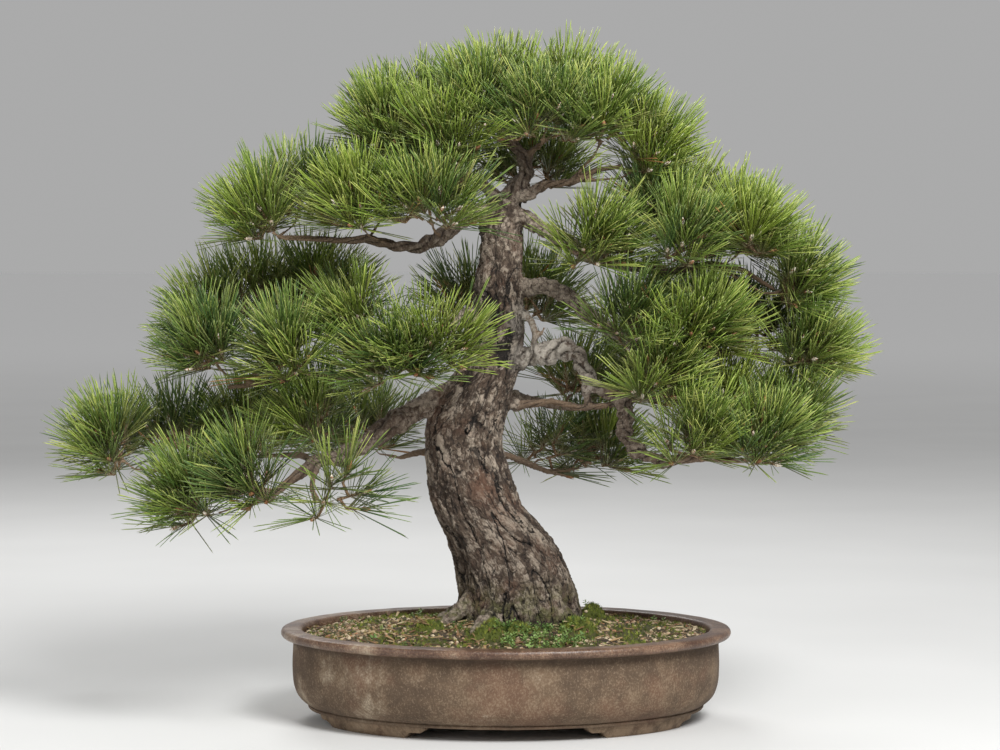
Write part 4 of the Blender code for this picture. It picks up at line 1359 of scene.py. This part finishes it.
print("shoots on the first spray:", len(shoots_of(guides[spray_names[0]])))

# %% Fork off the side shoots
SIDE_SHOOTS = 5
FEW_SIDE_SHOOTS = 2
THIN_SPRAYS = ("low_left_drop", "back_right_1")
ODD_WAY = (0.31, 0.17, 0.94)


def is_thin(name):
    """Whether this spray is a small, open one."""
    return any(thin in name for thin in THIN_SPRAYS)


def with_side_shoots(found, seed, side_shoots):
    """Each shoot, and the side shoots that fork off lower down: foot, axis and way back to the wood."""
    draw = np.random.default_rng(seed)
    full = []
    for foot, axis in found:
        full.append((foot, axis, axis * -14 * MM))
        start = draw.uniform(0, math.tau)
        across = axis.cross(Vector(ODD_WAY)).normalized()
        reach = np.interp((foot - POT_MIDDLE).z, (0.5, 0.62), (12, 1))
        for number in range(side_shoots):
            turn = start + math.tau * number / side_shoots + draw.uniform(-0.5, 0.5)
            outwards = Quaternion(axis, turn) @ across
            lean = (axis + outwards * draw.uniform(0.25, 0.95) + Vector((0, 0, 0.3))).normalized()
            fork = foot - axis * draw.uniform(0, 1) * reach * MM
            new_foot = fork + (outwards * draw.uniform(9, 17) + axis * draw.uniform(-4, 6)) * MM
            full.append((new_foot, lean, fork - new_foot))
    return full


shoots = {}
for seed, name in enumerate(spray_names):
    side_shoots = FEW_SIDE_SHOOTS if is_thin(name) else SIDE_SHOOTS
    shoots[name] = with_side_shoots(shoots_of(guides[name]), seed, side_shoots)
print("shoots:", sum(len(found) for found in shoots.values()))

# %% [markdown]
# ## A pair of needles
# Stone pine needles grow in twos from one papery sheath, and each is about six centimetres long. There
# will be tens of thousands of them, so a needle is a three-sided rod of ten triangles that keeps its
# width almost to the end and then runs out to a point. A number that goes from 0 at the foot to 1 at
# the tip is kept for the paint.

# %% Model one pair of needles
NEEDLE_LENGTH = 62 * MM
NEEDLE_RADIUS = 0.56 * MM
TAPER_AT = 0.9
BOW = 0.05


def needle_line(side, share):
    """A place on the bowed line of a needle, from 0 at its foot to 1 at its tip."""
    return Vector((side * (0.01 + 0.06 * share), -BOW * share ** 2, share)) * NEEDLE_LENGTH


shape = bmesh.new()
for side in (-1, 1):
    ring = round_points(NEEDLE_RADIUS, 0, 3, side * 0.5)
    low, high = [[shape.verts.new(needle_line(side, share) + p) for p in ring] for share in (0, TAPER_AT)]
    shape.faces.new(list(reversed(low)))
    bridge(shape, low, high)
    fan(shape, high, shape.verts.new(needle_line(side, 1)))
pair_mesh = mesh_of("needle_pair", shape)
store(pair_mesh, "along", vectors_of(pair_mesh.vertices, "co")[:, 2] / NEEDLE_LENGTH)
pair_mesh.shade_smooth()
pair = bpy.data.objects.new("needle_pair", pair_mesh)
print("triangles in a pair:", triangles(pair_mesh))

# %% Model one shoot with its bud, and one twig
STEM_MM = [(0, -1), (1.5, 0), (1.5, 16), (2.6, 18.5), (2.3, 23), (0, 29)]
BUD_FROM = 18 * MM
TWIG = [(0, -0.04), (1.5 * MM, 0), (1.9 * MM, 1), (0, 1.04)]


def turned_thing(name, points, bud_from):
    """A closed turned shape from (radius, height) points, the first and last on the axis."""
    shape = bmesh.new()
    low = shape.verts.new((0, 0, points[0][1]))
    high = shape.verts.new((0, 0, points[-1][1]))
    rows = [[shape.verts.new(place) for place in round_points(*point, 5)] for point in points[1:-1]]
    fan(shape, rows[0][::-1], low)
    for lower, upper in zip(rows, rows[1:]):
        bridge(shape, lower, upper)
    fan(shape, rows[-1], high)
    mesh = mesh_of(name, shape)
    store(mesh, "budded", vectors_of(mesh.vertices, "co")[:, 2] > bud_from)
    mesh.shade_smooth()
    return bpy.data.objects.new(name, mesh)


stem = turned_thing("stem", [(radius * MM, height * MM) for radius, height in STEM_MM], BUD_FROM)
twig = turned_thing("twig", TWIG, math.inf)
print("triangles:", triangles(stem.data), "in the stem,", triangles(twig.data), "in the twig")

# %% [markdown]
# ## A recipe for a tuft
# Each shoot is one point with an axis. The recipe copies it once for every pair of needles, walks up
# the core with the golden angle, 137.5 degrees, between one pair and the next, and opens the needles
# wide at the foot and less and less towards the tip, as pines do. A little lift turns them all to the
# light. Those that would still hang too steeply are left out, and more of them high in the crown,
# because a bonsai grower plucks them. Random numbers with a fixed seed vary length, lean and tint.

# %% The tuft recipe
GOLDEN = math.radians(137.5)
OFF_THE_CORE = 1.2 * MM
needle_paint = Finish("pine_needles")
bud_paint = Finish("bud_scales")
tuft = Recipe("tuft", {
    "Pairs": 50, "Opening At Foot": 82.0, "Opening At Tip": 8.0, "Lift": LIFT, "Jitter": 0.3,
    "Core Length": CORE_LENGTH, "Lowest": -0.33, "Seed": 1,
})
seed = tuft.given("Seed")
at_foot = tuft.given("Opening At Foot")
start_points = tuft.node("GeometryNodeMeshToPoints", inputs={"Mesh": tuft.given("Geometry")})
inputs = {"Geometry": start_points, "Amount": tuft.given("Pairs")}
copies = tuft.node("GeometryNodeDuplicateElements", {"domain": "POINT"}, inputs)
index = copies.also("Duplicate Index")
share = (index + 0.5) / tuft.given("Pairs")
axis = tuft.named("axis", "FLOAT_VECTOR")
side = tuft.vector("NORMALIZE", tuft.vector("CROSS_PRODUCT", axis, ODD_WAY))
turn = index * GOLDEN + tuft.random(-0.35, 0.35, seed)
outwards = tuft.swung(side, tuft.vector("CROSS_PRODUCT", axis, side), turn)
opening = at_foot + (tuft.given("Opening At Tip") - at_foot) * share ** 0.85
opening = (opening + tuft.random(-15.0, 15.0, seed + 1)) * math.radians(1)
jitter = tuft.scaled(tuft.random((-1, -1, -1), (1, 1, 1), seed + 2), tuft.given("Jitter"))
lean = tuft.summed(tuft.swung(axis, outwards, opening), tuft.scaled((0, 0, 1), tuft.given("Lift")), jitter)
up_the_core = tuft.scaled(axis, share * tuft.given("Core Length"))
place = tuft.summed(up_the_core, tuft.scaled(outwards, OFF_THE_CORE))
moved = tuft.node("GeometryNodeSetPosition", inputs={"Geometry": copies, "Offset": place})
settings = {"axis": "Y", "pivot_axis": "Z"}
inputs = {"Rotation": tuft.aimed(lean), "Vector": (0, 0, 1)}
turned = tuft.node("FunctionNodeAlignRotationToVector", settings, inputs)
turned = tuft.spun(turned, tuft.random(-0.9, 0.9, seed + 3))
lowest = tuft.given("Lowest") + tuft.random(-0.2, 0.2, seed + 7)
hangs = tuft.maths("LESS_THAN", tuft.part(tuft.vector("NORMALIZE", lean), "Z"), lowest)
numbers = {"tint": tuft.random(0.0, 1.0, seed + 5), "inner": 1 - share, "shoot": tuft.named("hue")}
size = tuft.random(0.62, 1.12, seed + 4)
needles = tuft.planted(pair, moved, numbers, Selection=1 - hangs, Rotation=turned, Scale=size)
stems = tuft.planted(stem, start_points, {}, Rotation=tuft.aimed(axis))
root = tuft.named("root", "FLOAT_VECTOR")
twig_size = tuft.node("ShaderNodeCombineXYZ", inputs={"X": 1.0, "Y": 1.0, "Z": tuft.vector("LENGTH", root)})
twigs = tuft.planted(twig, start_points, {}, Scale=twig_size, Rotation=tuft.aimed(root))
woody = tuft.painted(tuft.joined(stems, twigs), bud_paint)
tuft.finish(tuft.joined(woody, tuft.painted(needles, needle_paint)))
print("tuft recipe nodes:", len(tuft.tree.nodes))

# %% Grow the needles of every spray
PAIRS = 24
THIN_LIFT = 0.02
CROWN_HEIGHTS = (0.30, 0.50, 0.62)
LOWEST_LEANS = (-0.33, -0.2, 0.04)
for number, name in enumerate(spray_names):
    feet = bpy.data.meshes.new("feet")
    places, axes, roots = zip(*shoots[name])
    feet.from_pydata(places, [], [])
    store(feet, "axis", axes)
    store(feet, "root", roots)
    draw = np.random.default_rng(number)
    store(feet, "hue", np.clip(0.6 * (number * 0.618 % 1) + draw.uniform(-0.1, 0.5, len(places)), 0, 1))
    lift = THIN_LIFT if is_thin(name) else LIFT
    height = (sum(places, Vector()) / len(places) - POT_MIDDLE).z
    lowest = float(np.interp(height, CROWN_HEIGHTS, LOWEST_LEANS))
    grown = tuft.grow(feet, pairs=PAIRS, lift=lift, lowest=lowest, seed=number * 10)
    add_piece("needles_" + name.removeprefix("spray_"), grown, "pine_needles", name)

# %% [markdown]
# Needle colour runs from a pale, papery foot through deep green to a yellow-green tip. Each pair has
# its own tint, each pad of foliage leans to a bluer or a yellower green, and the oldest needles, low
# on the shoot, go olive, while the youngest, in the middle of a tuft, are bright. A few are dry and
# brown. Some buds are pale with resin and some are rusty.

# %% Paint the needles and the buds
step = needle_paint.step
along, tint, inner, hue = [needle_paint.attribute(name) for name in ("along", "tint", "inner", "shoot")]
dry = step(tint * 3 + (1 - inner) * 0.2, 0.075, 0.055)
green = needle_paint.ramp(
    tint, (0.0, (64, 88, 38)), (0.3, (100, 128, 52)), (0.7, (146, 168, 78)), (1.0, (202, 206, 116)),
)
green = needle_paint.coats(
    green,
    ((66, 100, 62), step(hue, 0.5, 0.0) * 0.65),
    ((162, 180, 64), step(hue, 0.6, 1.0) * 0.5),
    ((98, 96, 58), step(inner, 0.42, 1.0) * 0.75),
    ((172, 196, 80), step(inner, 0.34, 0.05) * hue * 0.6),
    ((186, 192, 118), step(along, 0.86, 1.0) * 0.3),
    ((206, 196, 158), step(along, 0.16, 0.02) * 0.9),
    ((174, 128, 76), dry),
)
needle_paint.paint(green, 0.4 + dry * 0.4)
scaly = bud_paint.patches(bud_paint.place, 1.8 * MM)
rusty = bud_paint.step(bud_paint.noise(30 * MM, 1), 0.47, 0.55)
scales = bud_paint.coats(
    (238, 230, 212), ((156, 112, 76), rusty), ((150, 104, 70), bud_paint.step(scaly, 0.4, 0.75)),
)
young_bark = bud_paint.mix((120, 94, 68), (176, 152, 118), bud_paint.step(scaly, 0.6, 0.2))
shoot_colour = bud_paint.mix(young_bark, scales, bud_paint.attribute("budded"))
bud_paint.paint(shoot_colour, 0.85 - scaly * 0.1, scaly, 0.5)
print("needle nodes:", len(needle_paint.tree.nodes))

# %% [markdown]
# ## Finish
# The last cell notes how many triangles the dressed pieces add, and the most in one piece.

# %% Note the sizes and finish
print("triangles added:", sum(triangles_added.values()), "most:", max(triangles_added.values()))
